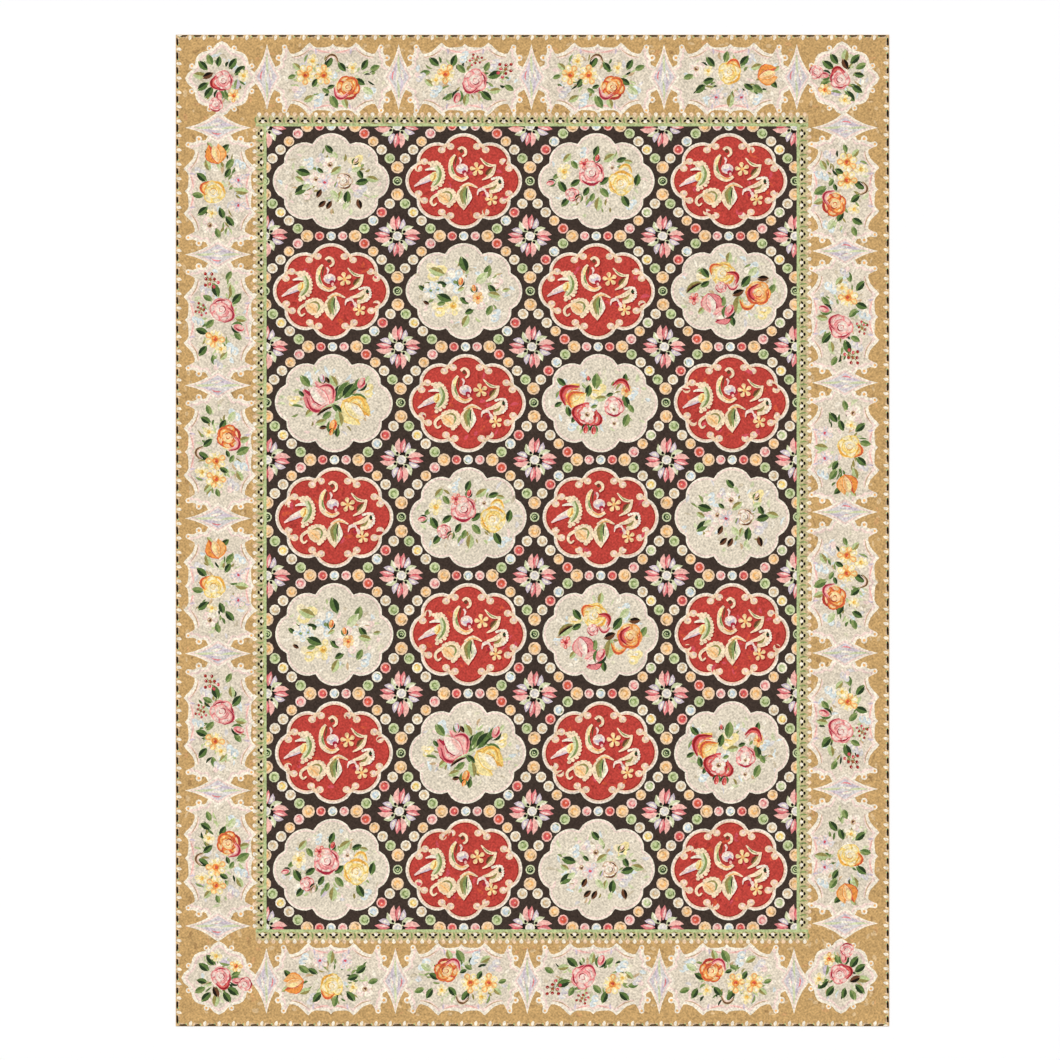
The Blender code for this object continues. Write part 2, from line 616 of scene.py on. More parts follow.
FAINT_YARNS = (
    "bright_cream", "bright_cream", "mist_green", "shade_cream", "blush", "pale_sky", "grey_lilac", "ivory",
)
SPRAY_YARNS = ("mid_green", "pale_green", "pale_green", "olive", "green", "tan", "mist_green", "dark_green")
PALE_SPRAY_YARNS = (
    "pale_green", "mist_green", "mist_green", "tan", "mid_green", "pale_sky", "bright_cream", "olive",
)
RED_GROUND_YARNS = ("orange_red", "red_shade", "red_shade", "rose")
PARTS = {
    "rose": rose, "berries": berries, "bud": bud, "daisy": daisy, "tulip": tulip, "wash": wash,
    "crescent": crescent,
}
GREEN_PARTS = {"leaf": leaf, "stem": stem}


def faint_strokes(rng, count, reach_x, reach_y, yarns=FAINT_YARNS):
    """Soft strokes hardly darker or lighter than the ground, scattered over an oval."""
    shapes = []
    for _ in range(count):
        a = rng.uniform(0, 2 * math.pi)
        far = math.sqrt(rng.random())
        x = reach_x * far * math.cos(a)
        y = reach_y * far * math.sin(a)
        turn = rng.uniform(0, math.pi)
        dx = rng.uniform(2.0, 5.5) * math.cos(turn)
        dy = rng.uniform(2.0, 5.5) * math.sin(turn)
        yarn = rng.choice(yarns)
        width = rng.uniform(1.8, 4.2)
        shapes += blade(yarn, x - dx, y - dy, x + dx, y + dy, width, rng.uniform(-0.2, 0.2))
    return shapes


def sprays(rng, count, reach_x, reach_y, yarns):
    """Small pointed leaves that stand outwards round a posy, on an oval ring."""
    shapes = []
    for _ in range(count):
        a = rng.uniform(0, 2 * math.pi)
        far = rng.uniform(0.35, 0.92)
        x = reach_x * far * math.cos(a)
        y = reach_y * far * math.sin(a)
        turn = math.atan2(y, x) + rng.uniform(-0.7, 0.7)
        long = rng.uniform(5.0, 9.5)
        shapes += blade(rng.choice(yarns), x, y, x + long * math.cos(turn), y + long * math.sin(turn),
                        rng.uniform(1.6, 3.0), rng.uniform(-0.16, 0.16))
    return shapes


def posy(table):
    """A bouquet from a table of its parts, back to front: part, place, size, turn and tone."""
    shapes = []
    for part, x, y, size, turn, tone in table:
        if part in GREEN_PARTS:
            made = GREEN_PARTS[part](size, LEAF_TONES[tone])
        else:
            made = PARTS[part](size, FLOWER_TONES[tone])
        shapes += placed(made, x, y, turn)
    return shapes


# The posies of the pale medallions, as part, place from the middle, size, turn and tone
LILIES = (
    ("wash", 25, 20, 10, 20, "yellow"), ("wash", -10, 23, 7, 60, "lilac"),
    ("wash", 28, -10, 10, 0, "lilac"),
    ("wash", -22, 1, 9, 0, "lilac"), ("wash", -24, -14, 7, 10, "pale"), ("wash", -22, 18, 8, 40, "sky"),
    ("leaf", -2, 33, 12, -48, "dark"), ("leaf", 4, 27, 9, -60, "faint"), ("leaf", -28, 9, 15, -14, "dark"),
    ("leaf", -32, 2, 10, -30, "olive"), ("leaf", -30, -9, 16, 40, "dark"),
    ("leaf", -25, -6, 10, 35, "faint"),
    ("leaf", 29, 7, 11, -62, "dark"), ("leaf", 31, -1, 14, 14, "dark"), ("leaf", 41, 2, 13, -14, "olive"),
    ("leaf", 16, -17, 14, 84, "dark"), ("leaf", 9, -15, 10, 74, "olive"), ("leaf", 14, -26, 9, 70, "faint"),
    ("leaf", 28, -24, 11, -74, "brown"), ("leaf", 25, 12, 10, 20, "faint"),
    ("daisy", -1, 17, 8.5, 10, "pale"), ("daisy", -15, 2, 7.5, 40, "pale"),
    ("rose", 13, 0, 9.5, 50, "pale"),
    ("leaf", -11, 11, 8, -40, "dark"), ("daisy", -6, -1, 9.0, 0, "lilac"), ("leaf", 5, 11, 13, 38, "olive"),
    ("leaf", 3, -14, 12, -50, "faint"), ("leaf", 5, -4, 7, 70, "grey"), ("leaf", -12, -13, 10, 62, "brown"),
    ("leaf", -9, -24, 10, 42, "brown"), ("leaf", -2, -25, 10, 60, "brown"), ("bud", 25, 21, 7, 50, "pale"),
)
TWO_ROSES = (
    ("wash", -30, -18, 8, 20, "sky"), ("wash", 34, -24, 8, 0, "sky"), ("wash", -14, 30, 7, 30, "sky"),
    ("leaf", 0, 31, 12, 70, "dark"), ("leaf", 13, 24, 14, 35, "olive"), ("leaf", 25, 22, 11, 20, "dark"),
    ("leaf", 32, 20, 9, -10, "olive"), ("leaf", -29, 24, 12, 50, "olive"),
    ("leaf", -22, 17, 11, -55, "green"),
    ("leaf", -34, -6, 14, -60, "dark"), ("leaf", -21, -2, 12, 35, "dark"), ("leaf", -40, 5, 9, 40, "green"),
    ("leaf", 41, 1, 13, 80, "dark"), ("leaf", 29, -21, 14, -62, "dark"), ("leaf", -31, -22, 12, 50, "dark"),
    ("leaf", 8, 0, 12, 40, "dark"), ("leaf", 8, -12, 13, -50, "green"), ("leaf", 2, -24, 15, 84, "olive"),
    ("leaf", -7, -22, 12, 60, "grey"), ("leaf", -10, -11, 11, 60, "dark"),
    ("leaf", -4, -17, 10, 70, "green"),
    ("daisy", -32, 10, 8.5, 0, "yellow"), ("bud", -46, -2, 8, 190, "pink"),
    ("daisy", 16, 14, 6, 30, "pale"),
    ("rose", 25, -2, 14.5, 200, "yellow"), ("crescent", 30, 13, 7, -20, "yellow"),
    ("rose", -5, 8, 14.5, 25, "pink"), ("rose", -24, -14, 8, 80, "pink"), ("bud", -18, -19, 8, 240, "pale"),
    ("daisy", -12, 18, 6.2, 0, "red"), ("bud", 1, 24, 7, 70, "red"),
)
BLUE_POSY = (
    ("wash", -28, 20, 13, -10, "yellow"), ("wash", 30, -25, 9, 20, "sky"),
    ("wash", -24, -18, 11, 10, "yellow"),
    ("wash", 33, 8, 8, 0, "pale"), ("leaf", 0, 28, 17, -70, "dark"), ("leaf", 24, 20, 15, 74, "green"),
    ("leaf", 18, 13, 17, 48, "faint"), ("leaf", -27, 20, 17, -22, "olive"),
    ("leaf", -22, 7, 12, -18, "dark"),
    ("leaf", -42, 3, 9, -40, "dark"), ("leaf", -36, 7, 7, 10, "brown"), ("leaf", 28, 2, 12, -50, "dark"),
    ("leaf", 30, -4, 13, -12, "olive"), ("leaf", 42, 1, 8, 10, "olive"), ("leaf", 25, -20, 12, 62, "green"),
    ("leaf", 5, -21, 11, 30, "dark"), ("leaf", 1, -31, 14, 65, "olive"),
    ("leaf", -38, -12, 7, -30, "brown"),
    ("daisy", -33, 1, 9, 20, "sky"), ("daisy", -26, 2, 7, 50, "sky"),
    ("daisy", -11, -15, 10.5, 15, "yellow"),
    ("leaf", -20, -7, 16, -22, "dark"), ("leaf", -23, -13, 9, 10, "green"),
    ("leaf", 0, -10, 11, -40, "dark"),
    ("daisy", -8, 10, 13, 10, "sky"), ("bud", -3, 10, 8, 80, "orange"), ("leaf", -3, 2, 8, 30, "olive"),
    ("daisy", 13, -6, 14, 30, "pale"), ("daisy", 14, -7, 6.5, 0, "orange"),
    ("bud", 10, 3, 7, 100, "orange"),
)
TULIPS = (
    ("wash", -40, 2, 8, 0, "yellow"), ("wash", 34, 12, 9, 30, "yellow"), ("wash", -26, 24, 9, 50, "sky"),
    ("leaf", -28, 22, 15, -52, "green"), ("leaf", -24, -10, 12, 45, "olive"),
    ("stem", -36, -4, 12, -10, "green"),
    ("leaf", 0, 22, 14, -60, "olive"), ("leaf", 5, 10, 20, 62, "dark"), ("leaf", 10, 13, 20, 56, "green"),
    ("leaf", 15, 12, 19, 52, "dark"), ("stem", 21, 12, 14, 38, "dark"), ("leaf", 25, 5, 16, -16, "green"),
    ("bud", 28, 20, 12, 62, "pink"), ("leaf", 34, 24, 8, 60, "faint"),
    ("tulip", 20, -8, 16, -42, "yellow"), ("crescent", 24, 0, 9, -25, "yellow"),
    ("tulip", -14, 6, 17, 132, "pink"), ("crescent", -18, -2, 11, 155, "pink"),
    ("crescent", -5, 12, 9, -48, "pink"),
    ("bud", -11, 25, 8, 95, "lilac"), ("leaf", -6, 23, 8, -60, "brown"), ("leaf", -32, 9, 8, -50, "dark"),
    ("stem", -5, -6, 26, 28, "faint"), ("stem", -9, -9, 20, 30, "brown"), ("leaf", 3, -6, 12, -40, "dark"),
    ("leaf", -7, -13, 12, 40, "green"), ("leaf", -13, -20, 12, 20, "olive"),
    ("leaf", -11, -25, 8, 10, "brown"),
    ("leaf", 5, -16, 16, -78, "olive"), ("bud", -1, -23, 12, 76, "orange"),
    ("leaf", 3, -30, 10, 84, "dark"),
    ("bud", -3, -30, 6, 250, "orange"),
)
RED_ROSES = (
    ("wash", 24, 22, 10, 40, "sky"), ("wash", 34, -22, 10, 0, "yellow"), ("wash", -26, 12, 9, 0, "yellow"),
    ("leaf", 0, 35, 12, 80, "olive"), ("leaf", -24, 19, 13, -54, "dark"), ("leaf", -35, 4, 19, 34, "olive"),
    ("stem", -35, 3, 20, 34, "brown"), ("leaf", -24, 7, 11, 32, "dark"), ("leaf", 24, 20, 14, 46, "faint"),
    ("leaf", 17, 10, 15, 54, "dark"), ("leaf", 34, 13, 12, 4, "brown"), ("leaf", 43, 2, 12, 60, "green"),
    ("leaf", -28, -20, 10, 50, "olive"), ("leaf", 3, -31, 11, -80, "dark"),
    ("leaf", 9, -14, 20, 82, "olive"),
    ("leaf", -7, -12, 14, 70, "green"), ("tulip", -18, -12, 11, -70, "pink"),
    ("tulip", -7, -25, 10, 200, "pink"),
    ("bud", 0, -20, 13, 60, "pink"), ("daisy", -35, -8, 6.5, 0, "red"),
    ("rose", -6, 18, 14, 60, "yellow"), ("crescent", 5, 14, 8, -60, "red"),
    ("crescent", -14, 24, 7, 40, "orange"),
    ("rose", -8, 4, 6.5, 0, "pink"), ("crescent", 3, 5, 6, 170, "pink"), ("leaf", 9, -2, 13, 24, "brown"),
    ("crescent", 17, -14, 8, 160, "orange"), ("rose", 29, -2, 14, 340, "orange"),
    ("crescent", 25, -1, 9, 80, "red"),
    ("crescent", 33, -8, 8, 220, "orange"),
)
GARLAND = (
    ("wash", -3, 12, 12, 0, "yellow"), ("wash", 32, 8, 8, 0, "sky"), ("wash", -28, -22, 9, 0, "sky"),
    ("wash", -38, 20, 7, 0, "sky"), ("leaf", -3, 22, 17, 84, "green"), ("leaf", -11, 12, 13, 78, "dark"),
    ("bud", -11, 25, 5, 90, "red"), ("leaf", -38, 21, 12, -44, "dark"), ("leaf", -41, 8, 11, 62, "grey"),
    ("leaf", -42, -2, 9, 30, "dark"), ("leaf", -32, -9, 11, -76, "dark"), ("leaf", -27, -17, 8, 60, "dark"),
    ("leaf", 26, 25, 10, 80, "dark"), ("leaf", 26, 1, 14, -70, "dark"), ("leaf", 31, -6, 10, -60, "green"),
    ("leaf", 26, -18, 14, 70, "green"), ("leaf", 10, 8, 8, 20, "dark"), ("leaf", 1, 4, 12, 10, "olive"),
    ("tulip", -26, 7, 13, 40, "yellow"), ("crescent", -31, 10, 12, 48, "red"),
    ("crescent", -25, 5, 10, 44, "orange"),
    ("rose", -15, -12, 13.5, 0, "red"), ("daisy", -13, -12, 8, 0, "pale"),
    ("crescent", -22, -9, 9, 70, "red"),
    ("crescent", -4, -18, 8, 240, "red"), ("daisy", -6, -3, 6, 0, "sky"), ("leaf", -6, -4, 7, 20, "green"),
    ("bud", -15, -27, 8, 260, "red"), ("bud", -7, -28, 8, 262, "red"),
    ("rose", 14, -4, 11.5, 30, "pink"), ("daisy", 14, -7, 5.5, 0, "pale"),
    ("daisy", 27, 12, 6.5, 0, "orange"),
    ("crescent", 23, 18, 9, -22, "red"), ("daisy", 14, -21, 6, 0, "pale"),
)


def teeth(yarn, path, size):
    """A row of small round teeth along a path."""
    shapes = []
    for x, y in smooth(path, 2):
        shapes += oval(yarn, x, y, size, 0.86 * size, 0, 6)
    return shapes


def star_leaf(x, y, size):
    """A small yellow leaf with five blunt lobes."""
    shapes = []
    for k in range(5):
        turn = 72 * k + 100
        shapes += petal("peach", x, y, size, 0.62 * size, turn, 5)
        shapes += petal("pale_yellow", x, y, 0.72 * size, 0.26 * size, turn, 4)
    shapes += oval("light_orange", x, y, 0.30 * size, 0.28 * size, 0, 6)
    return shapes


def feather_fan():
    """A fan with round teeth on its right and a pale tail to the left."""
    shapes = stroke("blush", [(-29, 5), (-38, 1.5), (-49.5, -5.5)], 8.5, 5.4, 1.4)
    shapes += stroke("bright_cream", [(-30, 6), (-37, 3.6), (-44, 0.4)], 3.0, 2.6, 0.8)
    shapes += stroke("lilac", [(-31, 1.6), (-38, -1.2), (-44, -3.6)], 1.4, 1.6, 0.6)
    shapes += stroke("bright_cream", [(-27, 12.6), (-33, 12.8), (-38.6, 11.4)], 3.6, 3.0, 1.2)
    shapes += stroke("deep_red", [(-29.6, 9.4), (-34, 9.4), (-37, 8.6)], 0.8, 1.3, 0.5)
    back = [(-34, 18.6), (-27.2, 19.6), (-22.8, 15), (-20.6, 9), (-20.6, 2.6), (-23.4, -4.4), (-31, -9)]
    shapes += teeth("curl_cream", back, 2.2)
    body = [(-33.6, 16.8), (-26.6, 15.6), (-23.4, 8.6), (-25, -0.4), (-32.4, -6.6)]
    shapes += stroke("curl_cream", body, 3.4, 8.4, 3.0)
    shapes += stroke("mid_green", [(-26.2, 16.2), (-23.2, 8.6), (-25.4, -0.2), (-30, -5)], 1.2, 3.2, 1.0)
    shapes += stroke("mist_green", [(-28, 15.6), (-26, 9), (-27.4, 2), (-31.6, -4)], 2.0, 3.6, 1.4)
    shapes += oval("pale_yellow", -30, 4.6, 3.6, 5.4, -20, 8)
    shapes += stroke("amber", [(-28.6, 8.4), (-29, 3.6), (-31.6, 0.2)], 0.8, 2.0, 0.7)
    return shapes


def crook_leaf():
    """A bowed leaf under a small crook, which holds a pale blossom."""
    crook = [(-5.6, 32.6), (-2.2, 35), (1.6, 32.4), (1.8, 28), (-1.4, 25.6)]
    shapes = stroke("curl_cream", crook, 2.4, 3.0, 2.0)
    shapes += oval("brown", -2.2, 31, 2.0, 1.8, 0, 6)
    shapes += stroke("blush", [(-4.6, 24.6), (-2.8, 21.8), (-4.0, 18)], 1.8, 2.2, 0.8)
    body = [(-8.4, 27.4), (-12.6, 21.6), (-12.8, 11.6), (-9.6, 4.8), (-2, 1.2), (4.4, 4.6)]
    shapes += stroke("curl_cream", body, 2.2, 5.8, 3.0)
    shapes += stroke("pale_yellow", [(-9.4, 25.4), (-12, 20.6), (-12.2, 16)], 1.6, 3.2, 1.6)
    shapes += stroke("mid_green", [(-11.6, 17), (-11.6, 12), (-9.4, 7.4)], 1.0, 2.2, 0.8)
    shapes += stroke("brown", [(-6.8, 25.6), (-8.2, 20.6), (-8.6, 15.6)], 0.7, 1.7, 0.7)
    shapes += stroke("light_orange", [(-8.6, 5.4), (-3, 2.4), (2.4, 3.4)], 0.8, 1.8, 0.8)
    shapes += oval("blush", -1.6, 12.8, 6.2, 5.4, 0, 10)
    shapes += oval("lilac", -1.6, 12.6, 4.4, 3.6, 0, 8)
    shapes += oval("bright_cream", -2.6, 14.4, 3.2, 1.8, 20, 7)
    shapes += oval("deep_rose", 0.8, 9.2, 2.7, 2.3, 0, 7)
    shapes += oval("pale_pink", 1.4, 7.0, 1.5, 2.0, 0, 6)
    shapes += bow("deep_rose", -0.6, 12.0, 6.6, -52, 42, 1.1)
    return shapes


def thistle():
    """A beaded thistle head on a bowed stalk over a curled blossom."""
    shapes = stroke("curl_cream", [(18.6, -6.8), (25, -5.4), (31, -2.4), (36, 1)], 1.6, 4.6, 5.2)
    shapes += stroke("curl_cream", [(35, -3), (33, -9), (25.6, -11.6)], 4.6, 5.2, 3.2)
    shapes += stroke("olive", [(33, -3.6), (30, -7.4), (25.6, -8.8)], 1.0, 2.6, 0.9)
    head = [(28.6, 2.2), (33, 3.4), (37.2, 3.0), (38.8, -1.4), (38.4, -6), (34.8, -9.8)]
    shapes += teeth("bright_cream", head, 1.7)
    shapes += oval("dark_green", 36, -0.6, 1.7, 2.3, 0, 6)
    shapes += bow("blush", 18.2, -13.0, 4.8, 200, -10, 3.4)
    shapes += stroke("blush", [(22.6, -12), (24.2, -15.6), (22, -18.4)], 3.2, 3.0, 1.2)
    shapes += oval("bright_cream", 16, -9.6, 2.0, 1.5, 20, 6)
    shapes += oval("deep_rose", 20.2, -14.4, 1.8, 1.9, 0, 6)
    return shapes + star_leaf(27.8, -19.4, 6.6)


def pod():
    """An upright pod with a capped top, green inside and pale on the right."""
    shapes = stroke("curl_cream", [(-3.6, -7.4), (4.6, -3.2), (13.8, -7)], 2.4, 3.8, 1.2)
    shapes += blade("curl_cream", 3.6, -2.6, 0.2, -30.4, 14.0, -0.10, 6)
    shapes += stroke("light_orange", [(-1.6, -6.6), (4.6, -4.2), (10.4, -5.6)], 0.8, 1.4, 0.5)
    shapes += stroke("olive", [(2.4, -5.6), (-1.8, -13), (-0.6, -24)], 1.2, 5.4, 1.2)
    shapes += stroke("mid_green", [(2.8, -7), (0.6, -14), (1.6, -24.6)], 1.0, 3.6, 0.9)
    shapes += stroke("dark_green", [(3.6, -7), (2.6, -13), (3.2, -19)], 0.7, 1.5, 0.6)
    shapes += stroke("bright_cream", [(5.0, -9), (6.0, -17), (3.2, -25)], 1.4, 5.0, 1.2)
    shapes += stroke("mist_green", [(4.4, -12), (4.6, -18), (3.2, -23)], 0.8, 1.8, 0.7)
    return shapes


def paisley():
    """A curled paisley with a toothed back and a hooked tail."""
    tail = [(-24, -12.8), (-31, -17), (-32.8, -21.6), (-30.2, -25.4), (-26.8, -23)]
    shapes = stroke("curl_cream", tail, 3.2, 2.8, 1.4)
    back = [(-24, -11.2), (-18, -8.8), (-11.6, -10), (-9, -15.4), (-10, -21), (-15, -26)]
    shapes += teeth("curl_cream", back, 2.4)
    shapes += oval("curl_cream", -17.6, -16.8, 9.2, 8.2, -35, 10)
    shapes += oval("peach", -19.4, -17.6, 7.0, 4.8, -35, 9)
    shapes += bow("olive", -17.4, -17.6, 6.4, 130, 10, 2.2)
    shapes += stroke("mid_green", [(-13.2, -13.4), (-12.4, -17), (-14.2, -21)], 0.9, 1.9, 0.7)
    shapes += stroke("light_orange", [(-23.6, -14.8), (-19, -18), (-15.4, -22)], 0.7, 1.8, 0.7)
    return shapes


def bowed_leaf():
    """A cream leaf that bends back on itself, dark inside the bend."""
    shapes = stroke("curl_cream", [(16.6, 24), (21.6, 18.4), (27, 16.2), (31.8, 16.4)], 1.2, 3.6, 1.6)
    shapes += stroke("curl_cream", [(31.6, 17.4), (29.4, 9.4), (25, 4.6), (18.4, 1.2)], 2.0, 4.4, 1.0)
    shapes += stroke("brown", [(27.4, 13.4), (24.6, 10.4), (22, 6.6)], 1.0, 4.0, 0.9)
    shapes += stroke("olive", [(28.6, 13.4), (26.2, 9.4), (22.8, 5.6)], 0.8, 1.8, 0.7)
    shapes += stroke("mid_green", [(19, 21.6), (23, 17.8), (27.6, 16)], 0.6, 1.3, 0.5)
    return shapes + star_leaf(13.4, 12.4, 7.4)


def red_posies():
    """The curls and small flowers on the red ground, each with its shadow to the lower right."""
    shapes = feather_fan() + crook_leaf() + bowed_leaf() + thistle() + pod() + paisley()
    shadows = []
    for yarn, points in shapes:
        if yarn in ("curl_cream", "bright_cream", "blush", "peach"):
            shadows.append(("deep_red", [(x + 0.9, y - 1.2) for x, y in points]))
    return shadows + shapes


def pale_ground(rng):
    """The soft shading of a pale medallion, with faint leaves round the middle."""
    return faint_strokes(rng, 60, 52, 39) + sprays(rng, 34, 42, 32, PALE_SPRAY_YARNS)


PALE_POSIES = {
    "lilies": LILIES, "two roses": TWO_ROSES, "blue posy": BLUE_POSY, "red roses": RED_ROSES,
    "tulips": TULIPS, "garland": GARLAND,
}


def medallion(name, rng):
    """The medallion of a name, with what is woven in it."""
    if name == "red":
        return red_medallion() + faint_strokes(rng, 34, 50, 36, RED_GROUND_YARNS) + red_posies()
    return cream_medallion() + pale_ground(rng) + posy(PALE_POSIES[name])


# The border's posies, as part, place from the cartouche's middle, size, turn and tone
SUNNY_POSY = (
    ("wash", -34, -13, 9, 0, "lilac"), ("wash", -15, -21, 9, 20, "sky"), ("wash", 36, -14, 9, 0, "sky"),
    ("leaf", -36, 12, 11, -40, "olive"), ("leaf", -26, 20, 10, 70, "grey"),
    ("leaf", -4, 17, 14, 62, "dark"),
    ("crescent", 0, 20, 7, -20, "pale"), ("leaf", 9, 12, 12, -50, "dark"), ("leaf", 32, 14, 12, 60, "dark"),
    ("leaf", 42, 11, 11, 20, "green"), ("leaf", -24, -20, 12, 30, "olive"),
    ("leaf", 1, -23, 15, -62, "green"),
    ("leaf", 12, -24, 12, -70, "olive"), ("leaf", 27, -3, 12, -30, "dark"),
    ("leaf", 35, -12, 13, -32, "faint"),
    ("leaf", -41, 2, 9, 20, "green"), ("daisy", -20, 18, 7, 20, "yellow"),
    ("daisy", 20, 11, 6, 0, "yellow"),
    ("leaf", -18, -4, 10, 60, "dark"), ("leaf", -2, -8, 8, 20, "dark"), ("leaf", -7, -12, 9, -30, "green"),
    ("daisy", -27, 4, 10.5, 0, "sunny"), ("daisy", -9, 4, 10.5, 30, "sunny"),
    ("rose", 15, -9, 13.5, 40, "ember"),
    ("crescent", 7, -15, 8, 150, "pink"), ("crescent", 20, -4, 7, -50, "sunny"),
)
PINK_POSY = (
    ("wash", -30, -12, 9, 0, "sky"), ("wash", 28, 14, 9, 10, "lilac"), ("wash", -2, 22, 8, 20, "sky"),
    ("leaf", -31, 17, 13, -40, "dark"), ("leaf", -11, 18, 13, 70, "dark"),
    ("leaf", 21, -17, 14, -40, "dark"),
    ("leaf", 44, -9, 11, -30, "green"), ("leaf", 30, -12, 12, 10, "olive"),
    ("leaf", -16, -18, 11, 40, "green"),
    ("leaf", 1, -21, 12, 80, "olive"), ("leaf", -40, 6, 11, 10, "green"), ("leaf", 30, 4, 15, 20, "dark"),
    ("leaf", 22, 12, 11, 62, "green"), ("leaf", -36, -4, 11, -40, "olive"),
    ("leaf", -4, 10, 12, -45, "green"),
    ("daisy", -19, 5, 10.5, 0, "sunny"), ("daisy", -29, -1, 6, 20, "yellow"),
    ("berries", 10, 19, 7.5, 0, "red"),
    ("berries", 39, 9, 9.5, 20, "red"), ("bud", -8, -19, 11, 250, "pink"),
    ("rose", 10, -2, 13.5, 10, "pink"),
    ("crescent", 4, -9, 8, 160, "pink"), ("wash", -45, 2, 7, 0, "lilac"),
)
GOLD_POSY = (
    ("wash", -34, 10, 10, 0, "pale"), ("wash", 26, -20, 8, 10, "sky"), ("wash", 18, 20, 8, 10, "lilac"),
    ("leaf", -20, 17, 13, -50, "dark"), ("leaf", -4, 22, 12, 80, "green"), ("leaf", 14, 18, 13, 50, "dark"),
    ("leaf", 26, 12, 12, 20, "olive"), ("leaf", -42, 2, 11, 20, "green"),
    ("leaf", -30, -10, 13, 40, "dark"),
    ("leaf", 27, -10, 13, -35, "green"), ("leaf", 43, -5, 11, -50, "dark"),
    ("leaf", 0, -22, 14, 84, "olive"),
    ("leaf", -22, -2, 12, 20, "dark"), ("leaf", 18, -8, 11, -30, "dark"), ("leaf", 46, 10, 8, 40, "olive"),
    ("daisy", -34, 10, 8, 0, "pale"), ("daisy", -14, -18, 8.5, 10, "lilac"),
    ("daisy", 11, -18, 8.5, 40, "lilac"),
    ("tulip", 37, 4, 11, 15, "orange"), ("daisy", -22, 8, 5.5, 0, "yellow"),
    ("rose", -1, 6, 13, 70, "yellow"),
    ("crescent", 4, 15, 7, -20, "sunny"),
)
CORNER_POSY = (
    ("leaf", -22, 3, 14, -8, "olive"), ("leaf", -19, 13, 13, -45, "dark"),
    ("leaf", -19, -8, 13, 35, "dark"),
    ("leaf", -12, 19, 12, -65, "green"), ("leaf", -3, 17, 11, 80, "dark"), ("leaf", 11, 15, 13, 55, "dark"),
    ("leaf", 18, 8, 14, 40, "dark"), ("leaf", -13, -14, 14, 55, "dark"), ("leaf", 4, -17, 11, -60, "green"),
    ("leaf", 15, -6, 12, 80, "grey"), ("leaf", -14, 3, 12, 25, "brown"), ("daisy", 22, 3, 6.5, 0, "yellow"),
    ("daisy", 12, -17, 7.0, 0, "sunny"), ("bud", -3, -18, 10, 270, "pink"),
    ("rose", -6, -26, 8.0, 30, "pink"),
    ("rose", 1, -2, 11.5, 0, "pink"), ("crescent", -7, -4, 7, 95, "red"),
)
BORDER_POSIES = {"sunny": SUNNY_POSY, "pink": PINK_POSY, "gold": GOLD_POSY}

# The border's four sides, each drawn lying along x with the rug's edge to the top:
# the middle of its band, its turn, the stars' places along it, and the posies between them
BORDER_SIDES = (
    ((0.0, 453.5), 0, (-265.5, -133.9, -1.1, 131.5, 264.3),
     ("sunny", "pink", "sunny", "gold")),
    ((0.0, -450.5), 180, (-261.5, -126.8, 5.2, 137.1, 266.1),
     ("sunny", "pink", "sunny", "gold")),
    ((-314.5, 0.0), 90, (-395.5, -260.0, -123.1, 12.1, 145.1, 276.0, 402.8),
     ("sunny", "pink", "gold", "sunny", "pink", "gold")),
    ((312.5, 0.0), -90, (-402.8, -279.5, -147.8, -18.5, 122.5, 258.5, 392.9),
     ("sunny", "pink", "gold", "sunny", "pink", "gold")),
)
CORNERS = ((-310.7, 451.9, 0), (309.5, 452.5, -90), (308.5, -445.5, 180), (-313.5, -447.5, 90))

# A quarter of a cartouche's edge, from over its middle to its end beside the star
CARTOUCHE_LENGTH = 66
CARTOUCHE_DROP = 1.8
CARTOUCHE_EDGE = (
    (0, 34.0), (2.4, 31.4), (8, 30.4), (16, 30.2), (20, 31.8), (23.3, 35.2), (25.6, 33), (28.4, 30),
    (33, 26.2), (39, 24.0), (43, 24.4), (45.2, 28), (47.4, 33.0), (50, 31.4), (49.4, 27), (50.4, 24),
    (52.6, 21.4), (52.4, 18.6), (51.4, 16.4), (52.6, 13.2), (56, 11.4), (60, 8.8), (61, 4), (61, 0),
)
BALLS = ((54.2, 21.0, 3.3), (48.4, 31.6, 2.8))
STAR_EDGE = ((0, 33), (2.6, 23), (5.0, 17), (8.6, 10), (12.4, 5), (15.6, 0))
GUARD_STEP = 14.3
GUARD_EDGES = (-276.8, 275.8, -410.0, 415.0)
RUG_EDGES = (-356.5, 356.5, -496.0, 496.0)


def all_round(quarter, stretch=1.0):
    """A closed outline from a quarter of it, mirrored both ways; it starts over the middle."""
    right_half = list(quarter) + [(x, -y) for x, y in reversed(quarter[:-1])]
    left_half = [(-x, y) for x, y in reversed(right_half[1:-1])]
    return [(x * stretch, y) for x, y in right_half + left_half]


def shrunk(points, width, height):
    """The points drawn in towards the middle, as shares of their distance from it."""
    return [(x * width, y * height) for x, y in points]


def star():
    """The long four-pointed star between two cartouches."""
    edge = all_round(STAR_EDGE)
    shapes = [
        ("bright_cream", edge),
        ("blush", shrunk(edge, 0.82, 0.88)),
        ("grey_lilac", shrunk(edge, 0.66, 0.74)),
    ]
    for way in (1, -1):
        shapes += blade("mist_green", 1.4 * way, 2 * way, 0.4 * way, 25 * way, 2.6, 0.05)
        shapes += blade("lilac", -2.6 * way, 0, -1.0 * way, 15 * way, 2.6, 0.1)
        shapes += blade("pink", 5.4 * way, -4, 4.0 * way, 7, 1.8, 0.15)
        shapes += blade("bright_cream", 3.0 * way, -6, 2.0 * way, 8, 2.4, -0.1)
        shapes += blade("lilac", 8.0 * way, -3, 6.4 * way, 4, 1.8, 0.1)
    return shapes


# The fine lines in a quarter of a cartouche, as yarn, places, and width at the ends and in the middle
CARTOUCHE_LINES = (
    ("tan", ((24, 28.6), (32, 23.6), (41, 21.4)), 0.5, 1.3),
    ("pale_pink", ((3, 26), (11, 27.6), (17, 29.4)), 0.6, 1.8),
)


